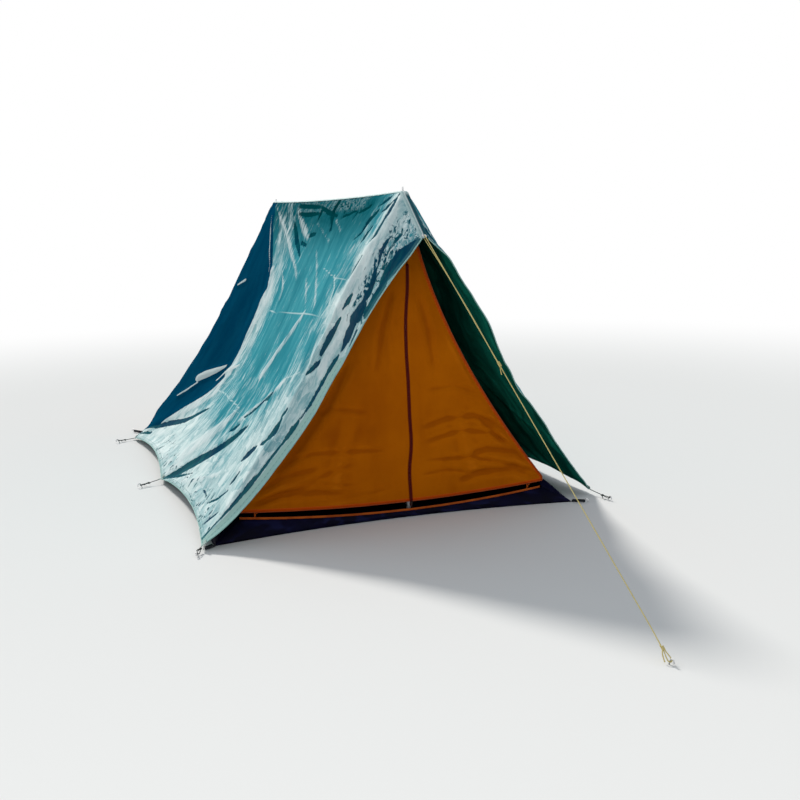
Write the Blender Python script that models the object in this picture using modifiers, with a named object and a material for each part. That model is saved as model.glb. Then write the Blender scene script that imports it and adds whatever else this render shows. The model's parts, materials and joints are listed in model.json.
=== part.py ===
"""Two-person ridge tent: a flysheet over an inner tent with a tub groundsheet, on two upright poles.

Metres, +Z up. The origin is on the ground under the middle of the ridge, and the door faces -Y.
"""

import math

import bmesh
import bpy
from mathutils import Matrix, Vector

# Cloth, webbing and the gap kept between pieces that touch
GAP = 0.0003
CLOTH = 0.0008
TAPE_THICKNESS = 0.0012
TAPE_WIDTH = 0.021

# The two poles
POLE_SPACING = 1.90
POLE_SHOULDER = 1.1815  # height of the disc that carries the eyelets
POLE_RADIUS = 0.008
POLE_WALL = 0.001
POLE_JOINT_HEIGHT = 0.60
SPIGOT_LENGTH = 0.06
FOOT_RADIUS = 0.012
FOOT_HEIGHT = 0.018
FOOT_FLOOR = 0.004
FOOT_TAPER = 0.0015
SPIKE_RADIUS = 0.003
SPIKE_ABOVE_FLY = 0.017
SHOULDER_RADIUS = 0.009
SHOULDER_DEPTH = 0.004
PLUG_LENGTH = 0.03

# Eyelets: spools of thin metal pressed through the tape
EYELET_FLANGE = 0.0008
EYELET_FLANGE_RADIUS = 0.009
EYELET_BARREL_RADIUS = 0.005
EYELET_BORE_RADIUS = 0.0042

# Flysheet
HOOD_REACH = 0.209  # each hood runs this far beyond its pole
HOOD_DROP = 0.162
FLY_RIDGE_SAG = 0.010
HOOD_EYELET_INSET = 0.012
FLY_HEM_POINTS = {  # where the hem is pegged, at each side from front to rear
    "left": [(-0.796, -1.085, 0.020), (-0.798, -0.088, 0.020), (-0.802, 0.888, 0.008)],
    "right": [(0.757, -0.977, 0.020), (0.798, -0.060, 0.020), (0.802, 0.888, 0.008)],
}
HEM_SCALLOP = 0.035  # the hem draws in and up between its pegs
HEM_RISE = 0.030
# How each panel hangs, at shares of its ridge from the front: its deepest sag, the sag's skew
# (above 1 the deepest place lies below the middle of the slope) and its outward puff near the ridge
FLY_HANG = {
    "left": [
        (0.0, 0.047, 2.40, 0.018), (0.09, 0.028, 2.00, 0.010), (0.45, 0.080, 1.25, 0.0),
        (0.76, 0.145, 1.25, 0.0), (0.91, 0.058, 1.25, 0.0), (1.0, 0.060, 1.25, 0.0),
    ],
    "right": [
        (0.0, 0.022, 1.30, 0.034), (0.09, 0.022, 1.30, 0.030), (0.45, 0.085, 1.50, 0.0),
        (0.76, 0.110, 1.50, 0.0), (0.91, 0.058, 1.25, 0.0), (1.0, 0.060, 1.25, 0.0),
    ],
}
FLY_PUFF_REACH = {"left": 0.55, "right": 0.45}  # share of the slope that puffs out
FLY_CELLS = (22, 12)  # along the ridge and down the slope
HOOD_CELLS = 2
HOOD_HEM_SHARE = 0.02  # a hood's foot takes this share of the hem beside the corner peg

# Inner tent
INNER_END = 0.030  # the end walls stand this far outside the poles
INNER_FOOT_HALF = 0.600
INNER_SHIFT = -0.055  # the foot of the inner tent is pitched this far to one side of the poles
INNER_CURVE = {"left": (1.30, 2.30), "right": (1.60, 1.60)}  # hollow of each wall, front and rear
INNER_RIDGE_SAG = 0.026
INNER_WALL_SAG = 0.020
INNER_CELLS = (12, 10)

# Door: two flaps with a zip between them, each folding back on a sloping line
FOLD_BELOW_SHOULDER = 0.2315
FOLD_INSET = 0.160  # from the corner of the tent to the foot of the fold
FOLD_GAP = 0.002
DOOR_TIP = 0.003
DOOR_HEM = 0.058
DOOR_HEM_RISE = 0.026
DOOR_CELLS = (6, 10)
ZIP_HALF_WIDTH = 0.0052
ZIP_THICKNESS = 0.0016
ZIP_TAIL = 0.004
ZIP_SPLIT = 0.0008  # from the middle to the edge of each row of teeth
SLIDER_WIDTH = 0.0095
SLIDER_HEIGHT = 0.012
SLIDER_PLATE = 0.0009
PULL_LENGTH = 0.016
PULL_WIDTH = 0.006
PULL_THICKNESS = 0.0012
PULL_BAR_RADIUS = 0.0006
PULL_EYE_RADIUS = 0.0016

# Groundsheet tub
FLOOR_SIDE_SPREAD = 0.094  # how far the floor's corners lie outside the foot of the walls
FLOOR_END_SPREAD = 0.069
FLOOR_END_DRAW = 0.067  # the end edges draw in between the corner pegs
FLOOR_SIDE_DRAW = 0.015
TUB_CLOTH = 0.001
TUB_SEAM = 0.003  # from the floor's edge in to the foot of the wall
TUB_WALL = 0.095
SILL_HEIGHT = 0.022
SILL_CORNER_HEIGHT = 0.058
SILL_BINDING = 0.008
SILL_BINDING_THICKNESS = 0.002
TUB_CELLS = (10, 10)

# Pegs, peg cords and the guy line
PEG_RADIUS = 0.002
PEG_DEPTH = 0.150
PEG_LEAN = math.radians(22)
PEG_NECK = 0.014
PEG_HOOK_RADIUS = 0.007
PEG_TIP_SHARE = 0.25
FLY_PEG_SPOTS = {
    "left": [(-0.8185, -1.132), (-0.884, -0.121), (-0.883, 0.852)],
    "right": [(0.778, -1.086), (0.884, -0.100), (0.883, 0.860)],
}
FLY_CORD_RADIUS = 0.0015
FLOOR_LOOP_LENGTH = 0.045
FLOOR_LOOP_WIDTH = 0.015
GUY_RADIUS = 0.0015
GUY_BEND = 0.006
GUY_PEG_SPOT = (0.120, -2.447)
HITCH_FROM_EYELET = 0.62
HITCH_LENGTH = 0.024
HITCH_RADIUS = 0.0050
HITCH_TURNS = 4
CORNER_TIE_INSET = 0.065
CORNER_TIE_RADIUS = 0.002

COLLECTION = "ridge_tent"
CUTTERS = "cutters"
STATIONS = ("front", "middle", "rear")
SIDES = {"left": -1, "right": 1}
ROUND_STEPS = 12

HALF_SPACING = POLE_SPACING / 2
INNER_TAPE_Z = POLE_SHOULDER + 2 * GAP + EYELET_FLANGE + TAPE_THICKNESS / 2
FLY_TAPE_Z = INNER_TAPE_Z + TAPE_THICKNESS + 3 * GAP + 2 * EYELET_FLANGE
INNER_END_Y = HALF_SPACING + INNER_END
FOLD_TOP = POLE_SHOULDER - FOLD_BELOW_SHOULDER
FOLD_FOOT_HALF = INNER_FOOT_HALF - FOLD_INSET
CORNER_TIE_AT = INNER_FOOT_HALF - CORNER_TIE_INSET
FLOOR_HALF_WIDTH = INNER_FOOT_HALF + FLOOR_SIDE_SPREAD
FLOOR_HALF_LENGTH = INNER_END_Y + FLOOR_END_SPREAD
TAPE_EDGE = TAPE_WIDTH / 2 + CLOTH / 2 + GAP  # where the cloths start beside the tape
PAD = EYELET_FLANGE_RADIUS + 0.002  # flat length of tape on each side of an eyelet


def material(name, colour, roughness, metallic=0.0):
    made = bpy.data.materials.get(name)
    if made is None:
        made = bpy.data.materials.new(name)
        made.use_nodes = True
        made.diffuse_color = (*colour, 1.0)
        shader = made.node_tree.nodes["Principled BSDF"]
        shader.inputs["Base Color"].default_value = (*colour, 1.0)
        shader.inputs["Roughness"].default_value = roughness
        shader.inputs["Metallic"].default_value = metallic
    return made


def fly_cloth():
    return material("fly_cloth", (0.05, 0.30, 0.33), 0.32)


def inner_cloth():
    return material("inner_cloth", (0.62, 0.20, 0.02), 0.6)


def tub_cloth():
    return material("groundsheet_cloth", (0.01, 0.012, 0.035), 0.4)


def webbing():
    return material("webbing", (0.16, 0.42, 0.42), 0.7)


def black_webbing():
    return material("black_webbing", (0.02, 0.02, 0.025), 0.8)


def orange_binding():
    return material("orange_binding", (0.65, 0.13, 0.02), 0.7)


def zip_tape():
    return material("zip", (0.14, 0.012, 0.01), 0.55)


def steel():
    return material("galvanised_steel", (0.62, 0.63, 0.64), 0.35, 1.0)


def plastic():
    return material("plastic", (0.03, 0.03, 0.03), 0.5)


def guy_cord():
    return material("guy_cord", (0.62, 0.55, 0.20), 0.7)


def dark_cord():
    return material("dark_cord", (0.02, 0.05, 0.06), 0.75)


def collection(name):
    found = bpy.data.collections.get(name)
    if found is None:
        found = bpy.data.collections.new(name)
        bpy.context.scene.collection.children.link(found)
    return found


def add(name, data, finish, into=COLLECTION):
    made = bpy.data.objects.new(name, data)
    collection(into).objects.link(made)
    if finish is not None:
        data.materials.append(finish)
    return made


def from_bmesh(name, bm, finish, into=COLLECTION):
    mesh = bpy.data.meshes.new(name)
    bm.to_mesh(mesh)
    bm.free()
    return add(name, mesh, finish, into)


def smooth(made):
    made.data.shade_smooth()
    made.data.set_sharp_from_angle(angle=math.radians(40))
    return made


def sheet(name, finish, cells, place, thickness=CLOTH, offset=0.0):
    """A grid laid on place(u, v), with u and v from 0 to 1, and given a thickness."""
    bm = bmesh.new()
    bmesh.ops.create_grid(bm, x_segments=cells[0], y_segments=cells[1], size=0.5)
    for vertex in bm.verts:
        vertex.co = place(vertex.co.x + 0.5, vertex.co.y + 0.5)
    made = from_bmesh(name, bm, finish)
    wall = made.modifiers.new("thickness", "SOLIDIFY")
    wall.thickness = thickness
    wall.offset = offset
    return smooth(made)


def turned(name, finish, profile, at=(0, 0, 0), axis=(0, 0, 1), closed=True, into=COLLECTION):
    """A profile of (radius, height) points turned about its height axis, which is then laid along axis."""
    bm = bmesh.new()
    points = [bm.verts.new((radius, 0, height)) for radius, height in profile]
    pairs = list(zip(points, points[1:]))
    if closed:
        pairs.append((points[-1], points[0]))
    for pair in pairs:
        bm.edges.new(pair)
    made = from_bmesh(name, bm, finish, into)
    screw = made.modifiers.new("turn", "SCREW")
    screw.steps = screw.render_steps = ROUND_STEPS
    screw.use_merge_vertices = True
    screw.merge_threshold = 0.00001
    made.rotation_mode = "QUATERNION"
    made.rotation_quaternion = Vector((0, 0, 1)).rotation_difference(Vector(axis))
    made.location = at
    return smooth(made)


def tube(name, finish, points, radius, radii=None):
    """A round cord or wire through the points, with its origin half way between its ends."""
    middle = (points[0] + points[-1]) / 2
    curve = bpy.data.curves.new(name, "CURVE")
    curve.dimensions = "3D"
    curve.bevel_depth = radius
    curve.bevel_resolution = 2
    curve.use_fill_caps = True
    spline = curve.splines.new("POLY")
    spline.points.add(len(points) - 1)
    for index, point in enumerate(points):
        spline.points[index].co = (*(point - middle), 1.0)
        if radii is not None:
            spline.points[index].radius = radii[index]
    made = add(name, curve, finish)
    made.location = middle
    return made


def plate(name, finish, outline, thickness, at, into=COLLECTION):
    """A flat outline of (x, z) points, centred on the plane y = at, with the given thickness along Y."""
    curve = bpy.data.curves.new(name, "CURVE")
    curve.dimensions = "2D"
    curve.fill_mode = "BOTH"
    curve.extrude = thickness / 2
    spline = curve.splines.new("POLY")
    spline.points.add(len(outline) - 1)
    for index, (x, z) in enumerate(outline):
        spline.points[index].co = (x, z, 0, 1.0)
    spline.use_cyclic_u = True
    return as_mesh(name, curve, finish, Matrix.Translation((0, at, 0)) @ Matrix.Rotation(math.pi / 2, 4, "X"), into)


def as_mesh(name, curve, finish, matrix, into=COLLECTION):
    """The curve's solid as a welded mesh, so that it can be cut and joined."""
    guide = add(name + "_curve", curve, None, CUTTERS)
    guide.matrix_world = matrix
    bpy.context.view_layer.update()
    evaluated = guide.evaluated_get(bpy.context.evaluated_depsgraph_get())
    mesh = bpy.data.meshes.new_from_object(evaluated)
    mesh.transform(matrix)
    bpy.data.objects.remove(guide)
    bm = bmesh.new()
    bm.from_mesh(mesh)
    bmesh.ops.remove_doubles(bm, verts=bm.verts, dist=0.00001)
    bmesh.ops.recalc_face_normals(bm, faces=bm.faces)
    bm.to_mesh(mesh)
    bm.free()
    mesh.name = name
    return add(name, mesh, finish, into)


def rod(name, finish, centre, radius, length, axis, into=COLLECTION):
    bm = bmesh.new()
    bmesh.ops.create_cone(
        bm, cap_ends=True, segments=ROUND_STEPS, radius1=radius, radius2=radius, depth=length
    )
    made = from_bmesh(name, bm, finish, into)
    made.rotation_mode = "QUATERNION"
    made.rotation_quaternion = Vector((0, 0, 1)).rotation_difference(Vector(axis))
    made.location = centre
    return made


def combine(made, other, operation):
    """Cuts other from made, or joins it on."""
    change = made.modifiers.new(other.name, "BOOLEAN")
    change.operation = operation
    change.object = other
    change.solver = "EXACT"
    other.hide_render = True
    other.display_type = "WIRE"
    return made


def lerp(a, b, t):
    return a + (b - a) * t


def arc(centre, across, up, radius, start, end, count):
    """Points on an arc from angle start to end, in the plane of the unit vectors across and up."""
    angles = [lerp(start, end, i / (count - 1)) for i in range(count)]
    return [centre + radius * (math.cos(a) * across + math.sin(a) * up) for a in angles]


def hood_fall(y):
    """How far a ridge has dropped at y: not at all up to the pole's pad, then evenly to the hood's tip."""
    return HOOD_DROP * max(0.0, abs(y) - HALF_SPACING - PAD) / (HOOD_REACH - PAD)


def hang(y, sag):
    """How far a ridge hangs at y between the flat pads on the poles."""
    return sag * max(0.0, 1 - (y / (HALF_SPACING - PAD)) ** 2)


def fly_ridge_z(y):
    return FLY_TAPE_Z - hang(y, FLY_RIDGE_SAG) - hood_fall(y)


def inner_ridge_z(y):
    return INNER_TAPE_Z - hang(y, INNER_RIDGE_SAG) - hood_fall(y)


def fly_ridge_y(u):
    """Where the panel's u meets the ridge: the hoods take HOOD_CELLS cells at each end."""
    hood = HOOD_CELLS / FLY_CELLS[0]
    end = HALF_SPACING + HOOD_REACH
    start = HALF_SPACING + PAD
    if u < hood:
        return lerp(-end, -start, u / hood)
    if u > 1 - hood:
        return lerp(start, end, (u - 1 + hood) / hood)
    return lerp(-start, start, (u - hood) / (1 - 2 * hood))


def hem_share(u):
    """How far along the hem the panel's u meets it: both hoods end close to their corner pegs."""
    hood = HOOD_CELLS / FLY_CELLS[0]
    if u < hood:
        return HOOD_HEM_SHARE * u / hood
    if u > 1 - hood:
        return 1 - HOOD_HEM_SHARE * (1 - u) / hood
    return lerp(HOOD_HEM_SHARE, 1 - HOOD_HEM_SHARE, (u - hood) / (1 - 2 * hood))


def fly_hem(side, u):
    """The hem between its pegs, drawn in and up in a shallow curve."""
    points = FLY_HEM_POINTS[side]
    along = hem_share(u)
    first = 0 if along < 0.5 else 1
    t = 2 * along - first
    point = Vector(points[first]).lerp(Vector(points[first + 1]), t)
    bow = 4 * t * (1 - t)
    return point + Vector((-SIDES[side] * HEM_SCALLOP * bow, 0, HEM_RISE * bow))


def fly_hang(side, u, v):
    """How far the panel hangs in from its straight slope, eased from one stated place to the next."""
    places = FLY_HANG[side]
    first, last = next((a, b) for a, b in zip(places, places[1:]) if u <= b[0] + 1e-9)
    t = max(0.0, (u - first[0]) / (last[0] - first[0]))
    depth, skew, puff = (lerp(a, b, t * t * (3 - 2 * t)) for a, b in zip(first[1:], last[1:]))
    low = v**skew
    high = min(1.0, v / FLY_PUFF_REACH[side])
    return 4 * (depth * low * (1 - low) - puff * high * (1 - high))


def fly_panel(side):
    sign = SIDES[side]

    def place(u, v):
        y = fly_ridge_y(u)
        top = Vector((sign * TAPE_EDGE, y, fly_ridge_z(y)))
        foot = fly_hem(side, u)
        slope = foot - top
        inward = Vector((sign * slope.z, 0, -sign * slope.x)).normalized()
        return top + slope * v + inward * fly_hang(side, u, v)

    return sheet("fly_panel_" + side, fly_cloth(), FLY_CELLS, place)


def tape(name, finish, ends, ridge, eyelets):
    """Webbing along a ridge, from y = ends[0] to ends[1], holed for its eyelets."""
    flat = [s * HALF_SPACING + d for s in (-1, 1) for d in (-PAD, PAD)]
    spans = [lerp(-HALF_SPACING + PAD, HALF_SPACING - PAD, i / 10) for i in range(1, 10)]
    stations = sorted([*ends, *[y for y in flat if ends[0] < y < ends[1]], *spans])
    count = len(stations) - 1

    def place(u, v):
        y = stations[round(u * count)]
        return Vector((lerp(-TAPE_WIDTH, TAPE_WIDTH, v) / 2, y, ridge(y)))

    made = sheet(name, finish, (count, 1), place, thickness=TAPE_THICKNESS)
    for index, (centre, axis) in enumerate(eyelets):
        hole = EYELET_BARREL_RADIUS + GAP
        cutter = rod(f"{name}_hole_{index}", None, centre, hole, 0.02, axis, CUTTERS)
        combine(made, cutter, "DIFFERENCE")
    return made


def eyelet(name, centre, axis):
    """A spool through the tape: a flange on each face and a barrel between them."""
    near = TAPE_THICKNESS / 2 + GAP
    far = near + EYELET_FLANGE
    profile = [
        (EYELET_FLANGE_RADIUS, far), (EYELET_FLANGE_RADIUS, near), (EYELET_BARREL_RADIUS, near),
        (EYELET_BARREL_RADIUS, -near), (EYELET_FLANGE_RADIUS, -near), (EYELET_FLANGE_RADIUS, -far),
        (EYELET_BORE_RADIUS, -far), (EYELET_BORE_RADIUS, far),
    ]
    return turned(name, steel(), profile, centre, axis)


def hood_slope(end):
    """Unit vectors down the hood's ridge and out of its upper face. end is -1 at the front and 1 at the rear."""
    down = Vector((0, end * (HOOD_REACH - PAD), -HOOD_DROP)).normalized()
    out = Vector((0, -end * down.z, end * down.y))
    return down, out


def hood_eyelet_centre(end):
    tip = Vector((0, end * (HALF_SPACING + HOOD_REACH), FLY_TAPE_Z - HOOD_DROP))
    return tip - hood_slope(end)[0] * HOOD_EYELET_INSET


def make_fly():
    for side in SIDES:
        fly_panel(side)
    up = Vector((0, 0, 1))
    over_poles = [(Vector((0, s * HALF_SPACING, FLY_TAPE_Z)), up) for s in (-1, 1)]
    on_hoods = [(hood_eyelet_centre(s), hood_slope(s)[1]) for s in (-1, 1)]
    end = HALF_SPACING + HOOD_REACH
    tape("fly_ridge_tape", webbing(), (-end, end), fly_ridge_z, over_poles + on_hoods)
    for name, place in zip(("front", "rear"), over_poles):
        eyelet("fly_eyelet_" + name, *place)
    for name, place in zip(("front", "rear"), on_hoods):
        eyelet("hood_eyelet_" + name, *place)


def inner_half_width(side, share, y):
    """From the ridge line out to a wall, share of the way down it."""
    foot = INNER_FOOT_HALF + SIDES[side] * INNER_SHIFT
    front, rear = INNER_CURVE[side]
    hollow = lerp(front, rear, (y / INNER_END_Y + 1) / 2)
    return TAPE_EDGE + (foot - TAPE_EDGE) * share**hollow


def inner_share(z):
    """How far down the end walls a height is, from 0 at the ridge to 1 at the top of the tub."""
    top = INNER_TAPE_Z
    return (top - z) / (top - TUB_WALL)


def inner_wall(side):
    sign = SIDES[side]
    foot = TUB_WALL + GAP
    reach = INNER_END_Y - CLOTH / 2 - GAP

    def place(u, v):
        y = lerp(-reach, reach, u)
        slack = INNER_WALL_SAG * (1 - (y / reach) ** 2) * 4 * v * (1 - v)
        z = lerp(inner_ridge_z(y), foot, v)
        return Vector((sign * (inner_half_width(side, v, y) - slack), y, z))

    return sheet("inner_wall_" + side, inner_cloth(), INNER_CELLS, place)


def end_wall_top():
    """End cloth stops under the end of the ridge tape."""
    return inner_ridge_z(INNER_END_Y) - TAPE_THICKNESS - CLOTH - GAP


def rear_wall():
    def place(u, v):
        z = lerp(end_wall_top(), TUB_WALL + GAP, v)
        share = inner_share(z)
        left = -inner_half_width("left", share, INNER_END_Y)
        right = inner_half_width("right", share, INNER_END_Y)
        return Vector((lerp(left, right, u), INNER_END_Y, z))

    return sheet("inner_wall_rear", inner_cloth(), DOOR_CELLS, place)


def door_hem_z(x):
    return DOOR_HEM + DOOR_HEM_RISE * (x / INNER_FOOT_HALF) ** 2


def fold_x(z):
    """The straight line, from the top of the zip to the hem, on which a flap folds back."""
    foot = door_hem_z(FOLD_FOOT_HALF)
    return FOLD_FOOT_HALF * max(0.0, FOLD_TOP - z) / (FOLD_TOP - foot)


def door_top():
    """Height at which a flap is wide enough to start: above it the two front panels meet."""
    width = ZIP_HALF_WIDTH + GAP + FOLD_GAP / 2 + DOOR_TIP
    return FOLD_TOP - width * (FOLD_TOP - door_hem_z(FOLD_FOOT_HALF)) / FOLD_FOOT_HALF


def hemmed(sign, left, right, u, v):
    """A point between two edges of a front cloth, whose foot follows the hem's curve."""
    point = Vector((*left, 0)).lerp(Vector((*right, 0)), u)
    fall = point.y - door_hem_z(point.x)
    return Vector((sign * point.x, -INNER_END_Y, point.y - (fall if v > 0.999 else 0)))


def door_flap(side):
    edge = ZIP_HALF_WIDTH + GAP

    def place(u, v):
        fold_z = lerp(door_top(), door_hem_z(FOLD_FOOT_HALF), v)
        left = (edge, lerp(door_top(), door_hem_z(edge), v))
        return hemmed(SIDES[side], left, (fold_x(fold_z) - FOLD_GAP / 2, fold_z), u, v)

    return sheet("door_" + side, inner_cloth(), DOOR_CELLS, place)


def front_panel(side):
    """The fixed cloth beside and above a flap, out to the corner seam."""
    corner = INNER_FOOT_HALF + SIDES[side] * INNER_SHIFT

    def place(u, v):
        fold_z = lerp(end_wall_top(), door_hem_z(FOLD_FOOT_HALF), v)
        seam_z = lerp(end_wall_top(), door_hem_z(corner), v)
        seam = (inner_half_width(side, inner_share(seam_z), -INNER_END_Y), seam_z)
        return hemmed(SIDES[side], (fold_x(fold_z) + FOLD_GAP / 2, fold_z), seam, u, v)

    return sheet("front_panel_" + side, inner_cloth(), (3, DOOR_CELLS[1] + 4), place)


def zip_half(side):
    """One row of teeth on its tape, in line with the flap's cloth. The left one has a tail for the slider."""
    sign = SIDES[side]
    tail = SLIDER_HEIGHT + ZIP_TAIL if side == "left" else 0
    bottom = DOOR_HEM + GAP - tail
    outline = [
        (sign * ZIP_SPLIT, bottom), (sign * ZIP_HALF_WIDTH, bottom),
        (sign * ZIP_HALF_WIDTH, door_top()), (sign * ZIP_SPLIT, door_top()),
    ]
    return plate("zip_half_" + side, zip_tape(), outline, ZIP_THICKNESS, -INNER_END_Y)


def slider_z():
    """Height of the slider's middle when it is at the foot of the zip."""
    return DOOR_HEM - GAP - SLIDER_HEIGHT / 2


def pull_bar_y():
    """The bar that holds the pull stands clear of the slider's front plate."""
    front = ZIP_THICKNESS / 2 + GAP + SLIDER_PLATE
    return -INNER_END_Y - front - GAP - PULL_EYE_RADIUS


def box(name, finish, low, high, into=COLLECTION):
    bm = bmesh.new()
    bmesh.ops.create_cube(bm, size=1.0)
    bmesh.ops.scale(bm, vec=Vector(high) - Vector(low), verts=bm.verts)
    bmesh.ops.translate(bm, vec=(Vector(low) + Vector(high)) / 2, verts=bm.verts)
    return from_bmesh(name, bm, finish, into)


def zip_slider():
    """Two plates joined by a web that runs between the rows of teeth, with a bar for the pull in front."""
    inner = ZIP_THICKNESS / 2 + GAP
    outer = inner + SLIDER_PLATE
    web = ZIP_SPLIT - GAP
    half = SLIDER_WIDTH / 2
    z = slider_z()
    low, high = z - SLIDER_HEIGHT / 2, z + SLIDER_HEIGHT / 2
    made = box("zip_slider", steel(), (-half, -INNER_END_Y - outer, low), (half, -INNER_END_Y + outer, high))
    front = -INNER_END_Y - outer
    cheek_in = PULL_WIDTH / 2 + GAP
    cheek_out = cheek_in + SLIDER_PLATE
    nose = pull_bar_y() - PULL_BAR_RADIUS * 1.5
    for side, sign in SIDES.items():
        xs = sorted((sign * web, sign * (half + SLIDER_WIDTH)))
        channel = box(
            "slider_channel_" + side, None, (xs[0], -INNER_END_Y - inner, low - SLIDER_HEIGHT),
            (xs[1], -INNER_END_Y + inner, high + SLIDER_HEIGHT), CUTTERS,
        )
        combine(made, channel, "DIFFERENCE")
        xs = sorted((sign * cheek_in, sign * cheek_out))
        cheek = box(
            "slider_cheek_" + side, None, (xs[0], nose, z - PULL_EYE_RADIUS),
            (xs[1], front + SLIDER_PLATE / 2, z + PULL_EYE_RADIUS), CUTTERS,
        )
        combine(made, cheek, "UNION")
    bar = rod(
        "slider_bar", None, (0, pull_bar_y(), z), PULL_BAR_RADIUS, cheek_in + cheek_out, (1, 0, 0), CUTTERS
    )
    return combine(made, bar, "UNION")


def zip_pull():
    """A flat tag whose eye turns on the slider's bar."""
    y, z = pull_bar_y(), slider_z()
    half = PULL_WIDTH / 2
    foot = z - PULL_LENGTH
    outline = [
        (-half, z), (-half * 0.6, z - PULL_LENGTH * 0.45), (-half, foot + 0.002), (-half + 0.001, foot),
        (half - 0.001, foot), (half, foot + 0.002), (half * 0.6, z - PULL_LENGTH * 0.45), (half, z),
    ]
    made = plate("zip_pull", steel(), outline, PULL_THICKNESS, y)
    eye = rod("pull_eye", None, (0, y, z), PULL_EYE_RADIUS, PULL_WIDTH - 0.0002, (1, 0, 0), CUTTERS)
    combine(made, eye, "UNION")
    bore = rod("pull_bore", None, (0, y, z), PULL_BAR_RADIUS + GAP, PULL_WIDTH * 2, (1, 0, 0), CUTTERS)
    return combine(made, bore, "DIFFERENCE")


def make_inner():
    ends = (-INNER_END_Y, INNER_END_Y)
    up = Vector((0, 0, 1))
    over_poles = [(Vector((0, s * HALF_SPACING, INNER_TAPE_Z)), up) for s in (-1, 1)]
    tape("inner_ridge_tape", orange_binding(), ends, inner_ridge_z, over_poles)
    for name, place in zip(("front", "rear"), over_poles):
        eyelet("inner_eyelet_" + name, *place)
    rear_wall()
    for side in SIDES:
        inner_wall(side)
        front_panel(side)
        door_flap(side)
        zip_half(side)
        corner_tie(side)
    zip_slider()
    zip_pull()


def sill_z(x):
    """Top of the tub's front wall: low in the middle for the way in, higher at the corners."""
    return SILL_HEIGHT + (SILL_CORNER_HEIGHT - SILL_HEIGHT) * (x / INNER_FOOT_HALF) ** 2


def floor_edge(x, y):
    """A point of the floor's plan, with its edges drawn in between the corners."""
    side_draw = FLOOR_SIDE_DRAW * (1 - (y / FLOOR_HALF_LENGTH) ** 2)
    end_draw = FLOOR_END_DRAW * (1 - (x / FLOOR_HALF_WIDTH) ** 2)
    drawn = x * (1 - side_draw / FLOOR_HALF_WIDTH)
    return Vector((drawn + INNER_SHIFT, y * (1 - end_draw / FLOOR_HALF_LENGTH), 0))


def tub_plan():
    """The floor's grid, with each vertex's place on a square from -1 to 1."""
    bm = bmesh.new()
    bmesh.ops.create_grid(bm, x_segments=TUB_CELLS[0], y_segments=TUB_CELLS[1], size=1.0)
    return bm, {v: (v.co.x, v.co.y) for v in bm.verts}


def groundsheet():
    bm, plan = tub_plan()
    for vertex, (x, y) in plan.items():
        vertex.co = floor_edge(x * FLOOR_HALF_WIDTH, y * FLOOR_HALF_LENGTH)
    made = from_bmesh("groundsheet", bm, tub_cloth())
    thick = made.modifiers.new("thickness", "SOLIDIFY")
    thick.thickness = TUB_CLOTH
    thick.offset = 1.0
    return smooth(made)


def tub_wall():
    """The turned-up sides of the tub, sewn on just inside the floor's edge."""
    bm, plan = tub_plan()
    middle = list(bm.faces)
    rim = [edge for edge in bm.edges if edge.is_boundary]
    feet = {(round(v.co.x, 6), round(v.co.y, 6)): v for edge in rim for v in edge.verts}
    wall = bmesh.ops.extrude_edge_only(bm, edges=rim)["geom"]
    lift = TUB_CLOTH * 1.6 + GAP
    for vertex in [g for g in wall if isinstance(g, bmesh.types.BMVert)]:
        foot = feet[(round(vertex.co.x, 6), round(vertex.co.y, 6))]
        x, y = plan[foot]
        edge = floor_edge(x * FLOOR_HALF_WIDTH, y * FLOOR_HALF_LENGTH)
        inset = Vector((x, y, 0)) * TUB_SEAM
        foot.co = edge - inset + Vector((0, 0, lift))
        top_x, top_y = x * INNER_FOOT_HALF + INNER_SHIFT, y * INNER_END_Y
        height = sill_z(top_x) if y <= -1 else TUB_WALL
        vertex.co = (top_x, top_y, height - TUB_CLOTH * 0.4)
    bmesh.ops.delete(bm, geom=middle, context="FACES")
    bmesh.ops.recalc_face_normals(bm, faces=bm.faces)
    made = from_bmesh("tub_wall", bm, tub_cloth())
    thick = made.modifiers.new("thickness", "SOLIDIFY")
    thick.thickness = TUB_CLOTH
    thick.offset = 0.0
    return smooth(made)


def sill_binding():
    half = INNER_FOOT_HALF - 0.01

    def place(u, v):
        x = lerp(-half, half, u) + INNER_SHIFT
        z = sill_z(x) + GAP * 2 + SILL_BINDING * v
        return Vector((x, -INNER_END_Y, z))

    return sheet("sill_binding", orange_binding(), (14, 1), place, thickness=SILL_BINDING_THICKNESS)


def corner_tie(side):
    """A short tie that holds the front panel's corner down to the sill."""
    x = SIDES[side] * CORNER_TIE_AT + INNER_SHIFT
    low = sill_z(abs(x) + CORNER_TIE_RADIUS) + 2 * GAP + SILL_BINDING + GAP
    high = door_hem_z(abs(x) - CORNER_TIE_RADIUS) - 2 * GAP
    points = [Vector((x, -INNER_END_Y, z)) for z in (low, high)]
    return tube("corner_tie_" + side, orange_binding(), points, CORNER_TIE_RADIUS)


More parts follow.
